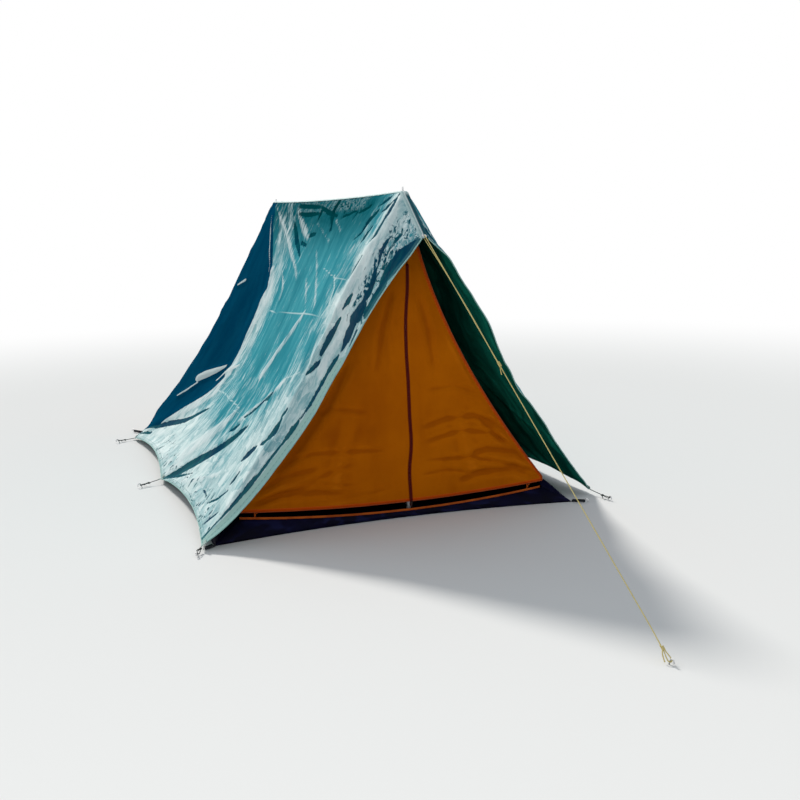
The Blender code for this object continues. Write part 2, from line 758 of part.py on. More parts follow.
def pole(end, sign):
    """Two tubes joined by a spigot, with a foot on the floor and a spike plug in the top."""
    y = sign * HALF_SPACING
    at = (0, y, 0)
    bore = POLE_RADIUS - POLE_WALL
    floor = TUB_CLOTH + GAP
    start = floor + FOOT_FLOOR + GAP
    joint = POLE_JOINT_HEIGHT
    foot = [
        (0, floor + FOOT_FLOOR), (POLE_RADIUS + GAP, floor + FOOT_FLOOR), (POLE_RADIUS + GAP, floor + FOOT_HEIGHT),
        (FOOT_RADIUS - FOOT_TAPER, floor + FOOT_HEIGHT), (FOOT_RADIUS, floor + FOOT_HEIGHT / 2),
        (FOOT_RADIUS, floor), (0, floor),
    ]
    turned(f"pole_{end}_foot", plastic(), foot, at, closed=False)
    lower = [(POLE_RADIUS, joint), (POLE_RADIUS, start), (bore, start), (bore, joint)]
    turned(f"pole_{end}_lower", steel(), lower, at)
    spigot = bore - GAP
    spigot_bore = spigot - POLE_WALL
    top = POLE_SHOULDER - SHOULDER_DEPTH - GAP
    neck = joint + GAP
    upper = [
        (POLE_RADIUS, top), (POLE_RADIUS, neck), (spigot, neck), (spigot, neck - SPIGOT_LENGTH),
        (spigot_bore, neck - SPIGOT_LENGTH), (spigot_bore, neck + POLE_WALL), (bore, neck + 2 * POLE_WALL),
        (bore, top),
    ]
    turned(f"pole_{end}_upper", steel(), upper, at)
    fly_top = FLY_TAPE_Z + TAPE_THICKNESS / 2 + GAP + EYELET_FLANGE
    tip = fly_top + SPIKE_ABOVE_FLY
    spike = [
        (0, tip), (SPIKE_RADIUS * 0.6, tip - 0.001), (SPIKE_RADIUS, tip - 0.005), (SPIKE_RADIUS, POLE_SHOULDER),
        (SHOULDER_RADIUS, POLE_SHOULDER), (SHOULDER_RADIUS, POLE_SHOULDER - SHOULDER_DEPTH),
        (bore - GAP, POLE_SHOULDER - SHOULDER_DEPTH), (bore - GAP, POLE_SHOULDER - SHOULDER_DEPTH - PLUG_LENGTH),
        (0, POLE_SHOULDER - SHOULDER_DEPTH - PLUG_LENGTH),
    ]
    turned(f"pole_{end}_spike", steel(), spike, at, closed=False)


def peg_line(spot, outward):
    """Unit vector up a peg's shank, which leans away from the tent, and its neck under the hook."""
    shank = (outward * math.sin(PEG_LEAN) + Vector((0, 0, math.cos(PEG_LEAN)))).normalized()
    return shank, Vector((*spot, 0)) + shank * PEG_NECK


def peg(name, spot, outward):
    """A wire peg with a hooked head, driven into the ground at a lean."""
    outward = outward.normalized()
    shank, neck = peg_line(spot, outward)
    across = (outward - shank * outward.dot(shank)).normalized()
    tip = Vector((*spot, 0)) - shank * (PEG_DEPTH / math.cos(PEG_LEAN))
    hook = arc(neck + across * PEG_HOOK_RADIUS, across, shank, PEG_HOOK_RADIUS, math.pi, -0.2, 7)
    points = [tip, tip + shank * 0.012, neck - shank * 0.008, *hook]
    radii = [PEG_TIP_SHARE] + [1.0] * (len(points) - 1)
    return tube(name, steel(), points, PEG_RADIUS, radii)


def flat(vector):
    return Vector((vector.x, vector.y, 0)).normalized()


def peg_cord(name, hem, spot):
    """A short cord from the hem to the peg's neck."""
    outward = flat(Vector((*spot, 0)) - hem)
    shank, neck = peg_line(spot, outward)
    way = (neck - hem).normalized()
    start = hem + way * 2 * FLY_CORD_RADIUS
    clear = PEG_RADIUS + FLY_CORD_RADIUS / 2 + GAP
    end = neck - way * clear / (way - shank * way.dot(shank)).length
    points = [start.lerp(end, t / 3) for t in range(4)]
    return tube(name, dark_cord(), points, FLY_CORD_RADIUS)


def make_fly_pegs():
    for side in SIDES:
        for station, hem, spot in zip(STATIONS, FLY_HEM_POINTS[side], FLY_PEG_SPOTS[side]):
            hem = Vector(hem)
            peg(f"fly_peg_{station}_{side}", spot, flat(Vector((*spot, 0)) - hem))
            peg_cord(f"fly_cord_{station}_{side}", hem, spot)


def make_floor_pegs():
    """A webbing loop at each corner of the floor, held by its own peg."""
    for side, across in SIDES.items():
        for end, along in (("front", -1), ("rear", 1)):
            corner = Vector((across * FLOOR_HALF_WIDTH + INNER_SHIFT, along * FLOOR_HALF_LENGTH, 0))
            outward = Vector((across, along, 0)).normalized()
            sideways = Vector((-outward.y, outward.x, 0))
            start = corner + outward * (2 * GAP + FLOOR_LOOP_WIDTH / 2)
            spot = corner + outward * FLOOR_LOOP_LENGTH
            peg(f"floor_peg_{end}_{side}", (spot.x, spot.y), outward)
            low = TUB_CLOTH / 2 + GAP
            high = PEG_NECK * 0.6
            shank_at = FLOOR_LOOP_LENGTH + high * math.tan(PEG_LEAN)
            clear = PEG_RADIUS / math.cos(PEG_LEAN) + TAPE_THICKNESS + GAP
            reach = shank_at - clear - (start - corner).length

            def place(u, v, start=start, outward=outward, sideways=sideways, reach=reach, low=low, high=high):
                width = FLOOR_LOOP_WIDTH * (1 - 0.55 * u)
                up = Vector((0, 0, low + (high - low) * u**2))
                return start + outward * reach * u + sideways * width * (v - 0.5) + up

            sheet(f"floor_loop_{end}_{side}", black_webbing(), (4, 1), place, thickness=TAPE_THICKNESS * 0.8)


def guy_frame():
    """The line's taut run: from its bend over the hood eyelet to the neck of its peg."""
    centre = hood_eyelet_centre(-1)
    down, out = hood_slope(-1)
    start = centre + down * GUY_BEND + out * GUY_BEND
    outward = flat(Vector((*GUY_PEG_SPOT, 0)) - centre)
    shank, neck = peg_line(GUY_PEG_SPOT, outward)
    way = (neck - start).normalized()
    clear = PEG_RADIUS + GUY_RADIUS / 2 + GAP
    end = neck - way * clear / (way - shank * way.dot(shank)).length
    return centre, down, out, start, way, end, outward


def guy_line():
    centre, down, out, start, way, end, outward = guy_frame()
    bend = arc(centre + down * GUY_BEND, down, out, GUY_BEND, math.pi, math.pi / 2, 5)
    bend[0] = bend[0] + out * (GUY_RADIUS / 2 + GAP)
    run = [start.lerp(end, t / 12) for t in range(1, 13)]
    tube("guy_line", guy_cord(), [*bend, *run], GUY_RADIUS)
    peg("guy_peg", GUY_PEG_SPOT, outward)
    hitch_at = start + way * HITCH_FROM_EYELET
    guy_hitch(hitch_at, way)
    back = arc(centre + down * GUY_BEND, down, -out, GUY_BEND, math.pi, math.pi / 2, 5)
    back[0] = back[0] - out * (GUY_RADIUS / 2 + GAP)
    side = (-out - way * way.dot(-out)).normalized()
    landing = hitch_at + side * (HITCH_RADIUS + GUY_RADIUS + GAP) / 2 - way * (HITCH_LENGTH / 2 + GAP)
    strand = [back[-1].lerp(landing, t / 8) for t in range(1, 9)]
    tube("guy_return", guy_cord(), [*back, *strand], GUY_RADIUS)


def guy_hitch(centre, way):
    """A friction hitch: turns of cord packed round the taut line, free to slide on it."""
    bore = GUY_RADIUS + GAP
    pitch = HITCH_LENGTH / HITCH_TURNS
    profile = [(bore, HITCH_LENGTH / 2)]
    for turn in range(HITCH_TURNS):
        top = HITCH_LENGTH / 2 - turn * pitch
        profile += [(HITCH_RADIUS * 0.9, top), (HITCH_RADIUS, top - pitch * 0.3)]
        profile += [(HITCH_RADIUS, top - pitch * 0.7)]
    profile += [(HITCH_RADIUS * 0.9, -HITCH_LENGTH / 2), (bore, -HITCH_LENGTH / 2)]
    return turned("guy_hitch", guy_cord(), profile, centre, way)


def main():
    for old in list(bpy.data.objects):
        bpy.data.objects.remove(old)
    make_fly()
    make_inner()
    groundsheet()
    tub_wall()
    sill_binding()
    for end, sign in (("front", -1), ("rear", 1)):
        pole(end, sign)
    make_fly_pegs()
    make_floor_pegs()
    guy_line()


main()
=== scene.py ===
import json
import math

import bmesh
import bpy
import numpy as np
from mathutils import Matrix, Vector

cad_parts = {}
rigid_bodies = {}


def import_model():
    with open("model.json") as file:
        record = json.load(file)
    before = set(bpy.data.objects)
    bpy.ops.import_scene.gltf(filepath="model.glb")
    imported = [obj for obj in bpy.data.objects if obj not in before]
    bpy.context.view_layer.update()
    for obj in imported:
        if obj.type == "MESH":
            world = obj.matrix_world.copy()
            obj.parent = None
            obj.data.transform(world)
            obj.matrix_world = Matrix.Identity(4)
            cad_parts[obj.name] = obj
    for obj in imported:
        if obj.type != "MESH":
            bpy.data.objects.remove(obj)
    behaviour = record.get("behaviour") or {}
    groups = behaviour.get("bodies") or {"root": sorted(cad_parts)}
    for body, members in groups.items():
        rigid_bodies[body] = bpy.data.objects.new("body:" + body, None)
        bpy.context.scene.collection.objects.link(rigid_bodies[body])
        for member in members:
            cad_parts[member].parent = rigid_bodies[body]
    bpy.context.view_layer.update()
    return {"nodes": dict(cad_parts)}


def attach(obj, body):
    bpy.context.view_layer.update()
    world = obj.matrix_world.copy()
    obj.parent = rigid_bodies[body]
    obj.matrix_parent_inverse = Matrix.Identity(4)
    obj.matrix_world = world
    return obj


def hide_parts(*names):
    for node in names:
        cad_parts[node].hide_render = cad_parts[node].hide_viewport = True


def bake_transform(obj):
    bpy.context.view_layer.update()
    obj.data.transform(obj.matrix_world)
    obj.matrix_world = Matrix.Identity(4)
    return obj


for leftover in list(bpy.data.objects):
    bpy.data.objects.remove(leftover)

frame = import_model()
nodes = frame["nodes"]
print("frame loaded:", len(nodes), "nodes")

# Sizes that several pieces share, in metres, as the frame has them
tent = {
    "polesY": 0.95,
    "pad": 0.011,
    "hoodReach": 0.209,
    "hoodDrop": 0.162,
    "flyTapeZ": 1.1872,
    "innerTapeZ": 1.1835,
    "flyHang": 0.010,
    "innerHang": 0.026,
    "tapeEdge": 0.0112,
    "clothThickness": 0.0008,
    "endY": 0.98,
    "wallEndY": 0.9793,
    "wallFoot": 0.0953,
    "frontTop": 1.1657,
    "foot": {"left": 0.655, "right": 0.545},
    "hollow": {"left": (1.30, 2.30), "right": (1.60, 1.60)},
    "shift": -0.055,
    "tubTop": 0.095,
    "tubTopHalf": 0.6,
    # Half way up the door's fold, from the zip and from the ground, and the way from it to the zip
    "foldMiddle": (0.22, 0.511),
    "foldInward": (-0.894, -0.448),
    "doorTop": 0.931,
    "doorEdge": 0.0055,
    "hem": (0.058, 0.026),
    "sill": (0.022, 0.036),
    "sides": {"left": -1, "right": 1},
}


def deselect():
    if bpy.context.object and bpy.context.object.mode != "OBJECT":
        bpy.ops.object.mode_set(mode="OBJECT")
    bpy.ops.object.select_all(action="DESELECT")


def takeUp(piece):
    deselect()
    piece.select_set(True)
    bpy.context.view_layer.objects.active = piece
    return piece


def applyAll(piece):
    takeUp(piece)
    for modifier in list(piece.modifiers):
        bpy.ops.object.modifier_apply(modifier=modifier.name)
    return piece


def settle(piece):
    takeUp(piece)
    bpy.ops.object.transform_apply(location=True, rotation=True, scale=True)
    return piece


def finishWith(piece, *faces):
    piece.data.materials.clear()
    for finish in faces:
        piece.data.materials.append(finish)
    return piece


def mix(a, b, t):
    return a + (b - a) * t


def ease(t):
    t = np.clip(t, 0.0, 1.0)
    return t * t * (3 - 2 * t)


def latticeNoise(x, y, seed):
    # Smooth noise from -1 to 1, the same on every run: the large factors only scramble the bits
    xi, yi = np.floor(x).astype(np.int64), np.floor(y).astype(np.int64)
    fx, fy = ease(x - xi), ease(y - yi)

    def corner(i, j):
        h = (i * 374761393 + j * 668265263 + seed * 97463477) & 0xFFFFFFFF
        h = ((h ^ (h >> 13)) * 1274126177) & 0xFFFFFFFF
        return ((h ^ (h >> 16)) & 0xFFFF) / 32767.5 - 1

    low = mix(corner(xi, yi), corner(xi + 1, yi), fx)
    high = mix(corner(xi, yi + 1), corner(xi + 1, yi + 1), fx)
    return mix(low, high, fy)


def crumple(x, y, seed, octaves=3):
    # Sharp ridges with soft hollows between them, as in cloth that has been packed
    total, size = 0, 1.0
    for k in range(octaves):
        total = total + size * (1 - 2 * np.abs(latticeNoise(x * 2**k, y * 2**k, seed + k)))
        size *= 0.5
    return total / 1.75


def normalsOf(points):
    across = np.gradient(points, axis=0)
    down = np.gradient(points, axis=1)
    normal = np.cross(across, down)
    return normal / np.maximum(np.linalg.norm(normal, axis=2, keepdims=True), 1e-12)


def areaOf(points):
    one = np.cross(points[1:, :-1] - points[:-1, :-1], points[1:, 1:] - points[:-1, :-1])
    two = np.cross(points[1:, 1:] - points[:-1, :-1], points[:-1, 1:] - points[:-1, :-1])
    return float(np.linalg.norm(one, axis=2).sum() + np.linalg.norm(two, axis=2).sum()) / 2


def clothGrid(name, cells, place, outward, faces, marks=None, thickness=tent["clothThickness"]):
    # A flat grid is laid on place(u, v), which may fill marks, the values kept on its points for
    # the finish; faces are the finish of its outer side and, where it differs, that of its inner one
    deselect()
    bpy.ops.mesh.primitive_grid_add(x_subdivisions=cells[0], y_subdivisions=cells[1], size=2)
    piece = bpy.context.object
    piece.name = name
    piece.data.name = name
    flat = np.zeros(len(piece.data.vertices) * 3)
    piece.data.vertices.foreach_get("co", flat)
    flat = flat.reshape(-1, 3)
    row, column = (np.rint((flat[:, k] + 1) / 2 * cells[k]).astype(int) for k in (0, 1))
    u, v = np.meshgrid(*(np.linspace(0, 1, count + 1) for count in cells), indexing="ij")
    points = place(u, v)
    piece.data.vertices.foreach_set("co", points[row, column].ravel())
    for mark, values in (marks or {}).items():
        kept = piece.data.attributes.new(mark, "FLOAT", "POINT")
        kept.data.foreach_set("value", values[row, column].astype(np.float32).ravel())
    middle = normalsOf(points)[cells[0] // 2, cells[1] // 2]
    if np.dot(middle, outward) < 0:
        piece.data.flip_normals()
    piece.data.update()
    finishWith(piece, *faces)
    wall = piece.modifiers.new("wall", "SOLIDIFY")
    wall.thickness = thickness
    wall.offset = 0
    wall.material_offset = len(faces) - 1
    wall.material_offset_rim = 0
    applyAll(piece)
    bpy.ops.object.shade_smooth()
    return piece, points


def lineDistance(x, y, line):
    # Distance of every (x, y) to a polyline, and how far along it the nearest point is
    best = np.full(x.shape, 1e9)
    along = np.zeros(x.shape)
    total = sum(math.dist(a, b) for a, b in zip(line, line[1:]))
    run = 0.0
    for (ax, ay), (bx, by) in zip(line, line[1:]):
        length = math.dist((ax, ay), (bx, by))
        t = np.clip(((x - ax) * (bx - ax) + (y - ay) * (by - ay)) / length**2, 0, 1)
        d = np.hypot(x - ax - t * (bx - ax), y - ay - t * (by - ay))
        nearer = d < best
        best = np.where(nearer, d, best)
        along = np.where(nearer, (run + t * length) / total, along)
        run += length
    return best, along


def foldHeights(folds, x, y):
    # Each fold is a groove (or a ridge, below 0) with raised shoulders that dies out at its ends
    height = np.zeros(x.shape)
    for fold in folds:
        depth, width, *line = (value / 1000 for value in fold)
        d, along = lineDistance(x, y, list(zip(line[::2], line[1::2])))
        lasts = ease(along / 0.18) * ease((1 - along) / 0.18)
        groove = np.exp(-((d / width) ** 2)) - 0.40 * np.exp(-(((d - 1.9 * width) / (0.9 * width)) ** 2))
        height = height - depth * groove * lasts
    return height


def link(name, mesh):
    piece = bpy.data.objects.new(name, mesh)
    bpy.context.scene.collection.objects.link(piece)
    return piece


def tubeAlong(name, points, radius, finish, sides=8, flatness=1.0, lay=None):
    # A round cord, or a flat strap where flatness is under 1, whose UV runs round and along it
    bm = bmesh.new()
    uv = bm.loops.layers.uv.new("UVMap")
    points = [Vector(p) for p in points]
    last = len(points) - 1
    tangents = [(points[min(k + 1, last)] - points[max(k - 1, 0)]).normalized() for k in range(last + 1)]
    side = Vector(lay) if lay else tangents[0].orthogonal()
    angles = [2 * math.pi * s / sides for s in range(sides)]
    rings, runs = [], [0.0]
    for k, point in enumerate(points):
        side = (side - tangents[k] * side.dot(tangents[k])).normalized()
        other = tangents[k].cross(side)
        if k:
            runs.append(runs[-1] + (point - points[k - 1]).length)
        spokes = [math.cos(a) * side + flatness * math.sin(a) * other for a in angles]
        rings.append([bm.verts.new(point + radius * spoke) for spoke in spokes])
    for k in range(last):
        for s in range(sides):
            turn = (s + 1) % sides
            face = bm.faces.new((rings[k][s], rings[k][turn], rings[k + 1][turn], rings[k + 1][s]))
            corners = ((s, k), (s + 1, k), (s + 1, k + 1), (s, k + 1))
            for loop, (around, along) in zip(face.loops, corners):
                loop[uv].uv = (around / sides, runs[along])
    bm.faces.new(reversed(rings[0]))
    bm.faces.new(rings[-1])
    mesh = bpy.data.meshes.new(name)
    bm.to_mesh(mesh)
    bm.free()
    mesh.shade_smooth()
    return finishWith(link(name, mesh), finish)


def curveThrough(points, count, steps=20):
    # Evenly spaced points on a smooth curve through the given ones
    knots = [Vector(p) for p in points]
    knots = [knots[0] * 2 - knots[1], *knots, knots[-1] * 2 - knots[-2]]
    fine = []
    for k in range(1, len(knots) - 2):
        a, b, c, d = knots[k - 1 : k + 3]
        for i in range(steps):
            t = i / steps
            cubic = (2 * a - 5 * b + 4 * c - d) * t**2 + (3 * b - a - 3 * c + d) * t**3
            fine.append(0.5 * (2 * b + (c - a) * t + cubic))
    fine.append(knots[-2])
    runs = [0.0]
    for a, b in zip(fine, fine[1:]):
        runs.append(runs[-1] + (b - a).length)
    even = []
    k = 0
    for i in range(count):
        goal = runs[-1] * i / (count - 1)
        while k < len(runs) - 2 and runs[k + 1] < goal:
            k += 1
        span = runs[k + 1] - runs[k]
        even.append(fine[k].lerp(fine[k + 1], (goal - runs[k]) / span if span else 0))
    return even


def feed(tree, slot, value):
    # A socket takes a wire, a colour or a plain value
    if isinstance(value, Wire):
        tree.links.new(value.socket, slot)
    elif isinstance(value, tuple) and len(value) < len(slot.default_value):
        slot.default_value = (*value, 1)
    else:
        slot.default_value = value


class Wire:
    # A socket whose arithmetic adds Math nodes
    def __init__(self, tree, socket):
        self.tree = tree
        self.socket = socket

    def step(self, operation, *values):
        node = self.tree.nodes.new("ShaderNodeMath")
        node.operation = operation
        for slot, value in zip(node.inputs, values):
            feed(self.tree, slot, value)
        return Wire(self.tree, node.outputs[0])

    def __add__(self, other):
        return self.step("ADD", self, other)

    def __mul__(self, other):
        return self.step("MULTIPLY", self, other)

    __radd__, __rmul__ = __add__, __mul__

    def __sub__(self, other):
        return self.step("SUBTRACT", self, other)

    def __rsub__(self, other):
        return self.step("SUBTRACT", other, self)

    def sine(self):
        return self.step("SINE", self)

    def size(self):
        return self.step("ABSOLUTE", self)

    def most(self, other):
        return self.step("MAXIMUM", self, other)

    def between(self, low, high):
        # 0 below low and 1 above high, smooth between
        node = self.tree.nodes.new("ShaderNodeMapRange")
        node.interpolation_type = "SMOOTHSTEP"
        for key, value in (("Value", self), ("From Min", low), ("From Max", high)):
            feed(self.tree, node.inputs[key], value)
        return Wire(self.tree, node.outputs["Result"])

    def near(self, middle, low, high):
        # 1 at the middle, fading out from low to high on both sides of it
        return 1 - (self - middle).size().between(low, high)


class Finish:
    # A material whose colour is laid on in layers, each over the ones before it
    def __init__(self, name, colour, roughness, metallic=0.0, **plain):
        self.material = bpy.data.materials.new(name)
        self.material.use_nodes = True
        self.tree = self.material.node_tree
        self.shader = self.tree.nodes["Principled BSDF"]
        self.set(self.shader, Base_Color=colour, Roughness=roughness, Metallic=metallic, **plain)

    def set(self, node, **values):
        for key, value in values.items():
            feed(self.tree, node.inputs[key.replace("_", " ")], value)

    def add(self, kind, settings=None, output=0, **values):
        node = self.tree.nodes.new("ShaderNode" + kind)
        for key, value in (settings or {}).items():
            setattr(node, key, value)
        self.set(node, **values)
        return Wire(self.tree, node.outputs[output])

    def place(self, kind="Object"):
        return self.add("TexCoord", output=kind)

    def mark(self, name):
        return self.add("Attribute", {"attribute_name": name}, output="Fac")

    def split(self, vector):
        node = self.tree.nodes.new("ShaderNodeSeparateXYZ")
        feed(self.tree, node.inputs[0], vector)
        return [Wire(self.tree, out) for out in node.outputs]

    def join(self, x, y, z=0.0):
        return self.add("CombineXYZ", X=x, Y=y, Z=z)

    def noise(self, spot, scale, detail=3.0, roughness=0.55, distortion=0.0):
        spot = self.join(*spot) if isinstance(spot, tuple) else spot
        values = {"Scale": scale, "Detail": detail, "Roughness": roughness, "Distortion": distortion}
        return self.add("TexNoise", Vector=spot, **values)

    def blend(self, amount, first, second):
        node = self.tree.nodes.new("ShaderNodeMix")
        node.data_type = "RGBA"
        # These are its colour sockets; those between them are for other kinds of value
        for slot, value in ((0, amount), (6, first), (7, second)):
            feed(self.tree, node.inputs[slot], value)
        return Wire(self.tree, node.outputs[2])

    def base(self, amount, first, second):
        self.tone = self.blend(amount, first, second)

    def over(self, amount, colour):
        self.tone = self.blend(amount, self.tone, colour)

    def paint(self, roughness=None, coat=None):
        self.set(self.shader, Base_Color=self.tone)
        if roughness:
            self.set(self.shader, Roughness=roughness)
        if coat:
            self.set(self.shader, Coat_Weight=coat)

    def bump(self, height, distance, strength=1.0):
        bump = self.add("Bump", Height=height, Distance=distance, Strength=strength)
        self.set(self.shader, Normal=bump)
        return self.material


# Metres of cloth along the ridge and down the slope, which the fly's UV runs over from 0 to 1
flyLong, flyDeep = 2.35, 1.42


def flyMetres(finish):
    u, v, _ = finish.split(finish.place("UV"))
    return u * flyLong, v * flyDeep


def flyOutside():
    finish = Finish("flyOutside", (0.04, 0.28, 0.34), 0.4, Specular_IOR_Level=0.0, Coat_Roughness=0.38)
    across, down = flyMetres(finish)
    leanAcross = across + (finish.noise((across, down), 3.0, 3.0) - 0.5) * 0.12
    leanDown = down + (finish.noise((across, down, 5.0), 3.0, 3.0) - 0.5) * 0.12

    def grain(perAcross, perDown, apart, *settings):
        return finish.noise((leanAcross * perAcross, leanDown * perDown, apart), 1.0, *settings)

    streaks = grain(15, 3.4, 0.0, 4.0, 0.62)
    fine = grain(42, 13, 3.0, 4.0, 0.65)
    ragged = grain(62, 46, 9.0, 3.0, 0.6) - 0.5
    broken = grain(34, 30, 13.0, 3.0, 0.55, 0.6)
    crackle = grain(46, 34, 17.0, 3.0, 0.55, 0.9)
    facets = finish.join(leanAcross * 27 + ragged * 0.5, leanDown * 25 + ragged * 0.5)
    plane, other, _ = finish.split(finish.add("TexVoronoi", {"feature": "F1"}, 1, Vector=facets, Scale=1.0))
    rim = finish.add("TexVoronoi", {"feature": "DISTANCE_TO_EDGE"}, 0, Vector=facets, Scale=1.0)
    crumpled, high, sheen = finish.mark("crumpled"), finish.mark("high"), finish.mark("sheen")
    edge, strip, creaseShade = finish.mark("edge"), finish.mark("strip"), finish.mark("dark")
    crinkled = sheen.between(0.45, 0.85)
    # Teal cloth, darker near the ridge, under a painted sheen, with painted highlight, shade and glints on
    # crinkles
    teal = finish.blend(streaks.between(0.30, 0.70), (0.028, 0.222, 0.276), (0.066, 0.330, 0.383))
    teal = finish.blend(high * (0.55 + broken * 0.7), teal, (0.001, 0.082, 0.102))
    sheenTone = finish.blend(fine.between(0.3, 0.7), (0.38, 0.57, 0.58), (0.60, 0.73, 0.73))
    sheenTone = finish.blend(crinkled * 0.6, sheenTone, (0.65, 0.76, 0.74))
    grainy = (streaks - 0.5) * (1.1 - crinkled * 0.65) + (fine - 0.5) * (1.6 - crinkled * 1.15)
    paintedSheen = (sheen * 1.04 + grainy + (plane - 0.5) * crinkled * 0.22).between(0.35, 1.06)
    finish.base(paintedSheen, teal, sheenTone)
    finish.over(crinkled * plane.between(0.66, 0.95) * 0.3, (0.78, 0.86, 0.86))
    finish.over(crinkled * other.between(0.72, 0.95) * 0.3, (0.16, 0.38, 0.41))
    creased = (1 - rim.between(0.01, 0.06)) * broken.between(0.42, 0.60)
    finish.over(crinkled * creased * 0.45, (0.78, 0.86, 0.86))
    # Painted glare on the creases that catch the sky, painted shade in dimples and painted glints where crumpled
    lit = finish.mark("pale") + ragged * 0.3 + (fine - 0.5) * 1.8 + (streaks - 0.5) * 1.4
    glare = lit.between(0.36, 1.25)
    finish.over(glare * 0.72, (0.64, 0.72, 0.72))
    dimpleField = crackle + broken * 0.35 + crumpled * 0.07
    finish.over(dimpleField.between(0.64, 0.80) * crumpled.between(0.35, 0.9) * 0.75, (0.050, 0.200, 0.240))
    glint = crackle.near(0.50, 0.012, 0.055) * crumpled.between(0.35, 0.9) * (1 - creaseShade.between(0.40, 0.62))
    thread = (finish.mark("thread") + ragged * 0.08).between(0.36, 0.58) * (0.45 + fine)
    finish.over(thread * 0.8, (0.52, 0.68, 0.68))
    # Painted shade in the folds over those, then the hem's strip in painted sheen and the rear in painted shade
    foldShadeTone = finish.blend(streaks.between(0.40, 0.60), (0.001, 0.045, 0.092), (0.002, 0.090, 0.115))
    foldShadeTone = finish.blend(high, foldShadeTone, (0.0, 0.048, 0.056))
    shadedDimple = dimpleField.between(0.79, 0.86) * crumpled.between(0.1, 0.4)
    dark = (creaseShade + ragged * 0.55 + (fine - 0.5) * 0.5).between(0.48, 0.58).most(shadedDimple)
    finish.over(dark * 0.96, foldShadeTone)
    finish.over(glint * 0.75, (0.66, 0.77, 0.77))
    finish.over((strip + ragged * 0.05).between(0.47, 0.53), (0.33, 0.52, 0.48))
    shade = (finish.mark("shade") + ragged * 0.25).between(0.44, 0.56)
    finish.over(shade, finish.blend(streaks.between(0.3, 0.7), (0.0, 0.046, 0.100), (0.001, 0.062, 0.122)))
    # Painted light on the flaps that stand up out of the shaded rear
    finish.over((finish.mark("flap") + ragged * 0.15).between(0.46, 0.56) * 0.9, (0.60, 0.68, 0.67))
    finish.over((1 - edge.between(0.0185, 0.0205)) * 0.2, (0.16, 0.40, 0.40))
    stitch = edge.near(0.0175, 0.0004, 0.0011) * ((across + down) * 330).sine().between(-0.2, 0.2)
    finish.over(stitch * 0.6, (0.01, 0.07, 0.09))
    dull = shade.most(dark)
    finish.paint(0.42 + streaks * 0.2 + dull * 0.35, paintedSheen * (1 - dull) * 0.3)
    weave = (across * 6200).sine() * (down * 6200).sine()
    height = streaks * 0.5 + fine * 0.4 + crinkled * (plane * 0.5 + rim * 0.8) - dark * 0.5 + glare * 0.4
    return finish.bump(height + thread * 0.3 - stitch * 0.3 + weave * 0.01, 0.0030, 0.5)


def flyInside():
    finish = Finish("flyInside", (0.004, 0.060, 0.040), 0.8, Specular_IOR_Level=0.0)
    across, down = flyMetres(finish)
    warp = finish.noise((across, down), 2.2, 3.0)
    streaks = finish.noise((across * 11 + warp * 5, down * 1.4 + warp * 2), 1.0, 5.0, 0.6)
    finish.base(streaks.between(0.32, 0.70), (0.004, 0.105, 0.078), (0.016, 0.340, 0.235))
    # Painted highlight on the brightest streaks
    finish.over(streaks.between(0.56, 0.76) * 0.6, (0.040, 0.560, 0.430))
    finish.over((1 - finish.mark("edge").between(0.0185, 0.0205)) * 0.5, (0.002, 0.060, 0.044))
    # Painted shade along the folds
    finish.over(finish.mark("fold").size().between(0.002, 0.008) * 0.5, (0.001, 0.045, 0.032))
    finish.paint(0.70 + streaks * 0.2)
    return finish.bump(streaks, 0.003, 0.7)


def pipingTape(name, low, high):
    # A folded edge binding, ribbed across by its UV
    finish = Finish(name, low, 0.6, Specular_IOR_Level=0.3)
    around, along, _ = finish.split(finish.place("UV"))
    soft = finish.noise((around * 3, along * 30), 1.0, 3.0)
    stitch = around.near(0.25, 0.02, 0.05) * (along * 1500).sine().between(0.0, 0.3)
    finish.base(soft.between(0.3, 0.7), low, high)
    finish.over(stitch * 0.5, tuple(0.3 * c for c in low))
    finish.paint(0.5 + soft * 0.2)
    return finish.bump((along * 2200).sine() * 0.4 - stitch, 0.0004, 0.6)


def innerCloth():
    finish = Finish("innerCloth", (0.36, 0.10, 0.0), 0.9, Specular_IOR_Level=0.03)
    spot = finish.place("Object")
    x, y, z = finish.split(spot)
    drift = finish.noise((x * 9, y * 9, z * 2.5), 1.0, 4.0, 0.6)
    fine = finish.noise(spot, 60.0, 3.0)
    edge, fold = finish.mark("edge"), finish.mark("fold")
    trim = 1 - edge.between(0.010, 0.0125)
    finish.base(finish.noise(spot, 3.0, 4.0).between(0.3, 0.7), (0.385, 0.088, 0.0), (0.475, 0.118, 0.0))
    finish.over(drift.between(0.45, 0.75) * 0.5, (0.330, 0.072, 0.0))
    finish.over(fine.between(0.55, 0.8) * 0.2, (0.30, 0.065, 0.0))
    # Painted shade in the hollows of the folds and painted highlight on their crests
    finish.over((0 - fold).between(0.0008, 0.0050) * 0.55, (0.27, 0.052, 0.0))
    finish.over(fold.between(0.0016, 0.0050) * 0.35, (0.58, 0.155, 0.004))
    finish.over(trim * 0.8, (0.50, 0.050, 0.002))
    stitch = edge.near(0.0095, 0.0003, 0.0010) * ((x + z) * 900).sine().between(-0.2, 0.2)
    finish.over(stitch * 0.6, (0.60, 0.20, 0.05))
    finish.paint(0.72 + fine * 0.12)
    weave = (x * 5200).sine() * (z * 5200).sine() + (y * 5200).sine() * (z * 5200).sine()
    return finish.bump(weave * 0.05 + fine * 0.4 + trim * 0.8, 0.0012, 0.6)


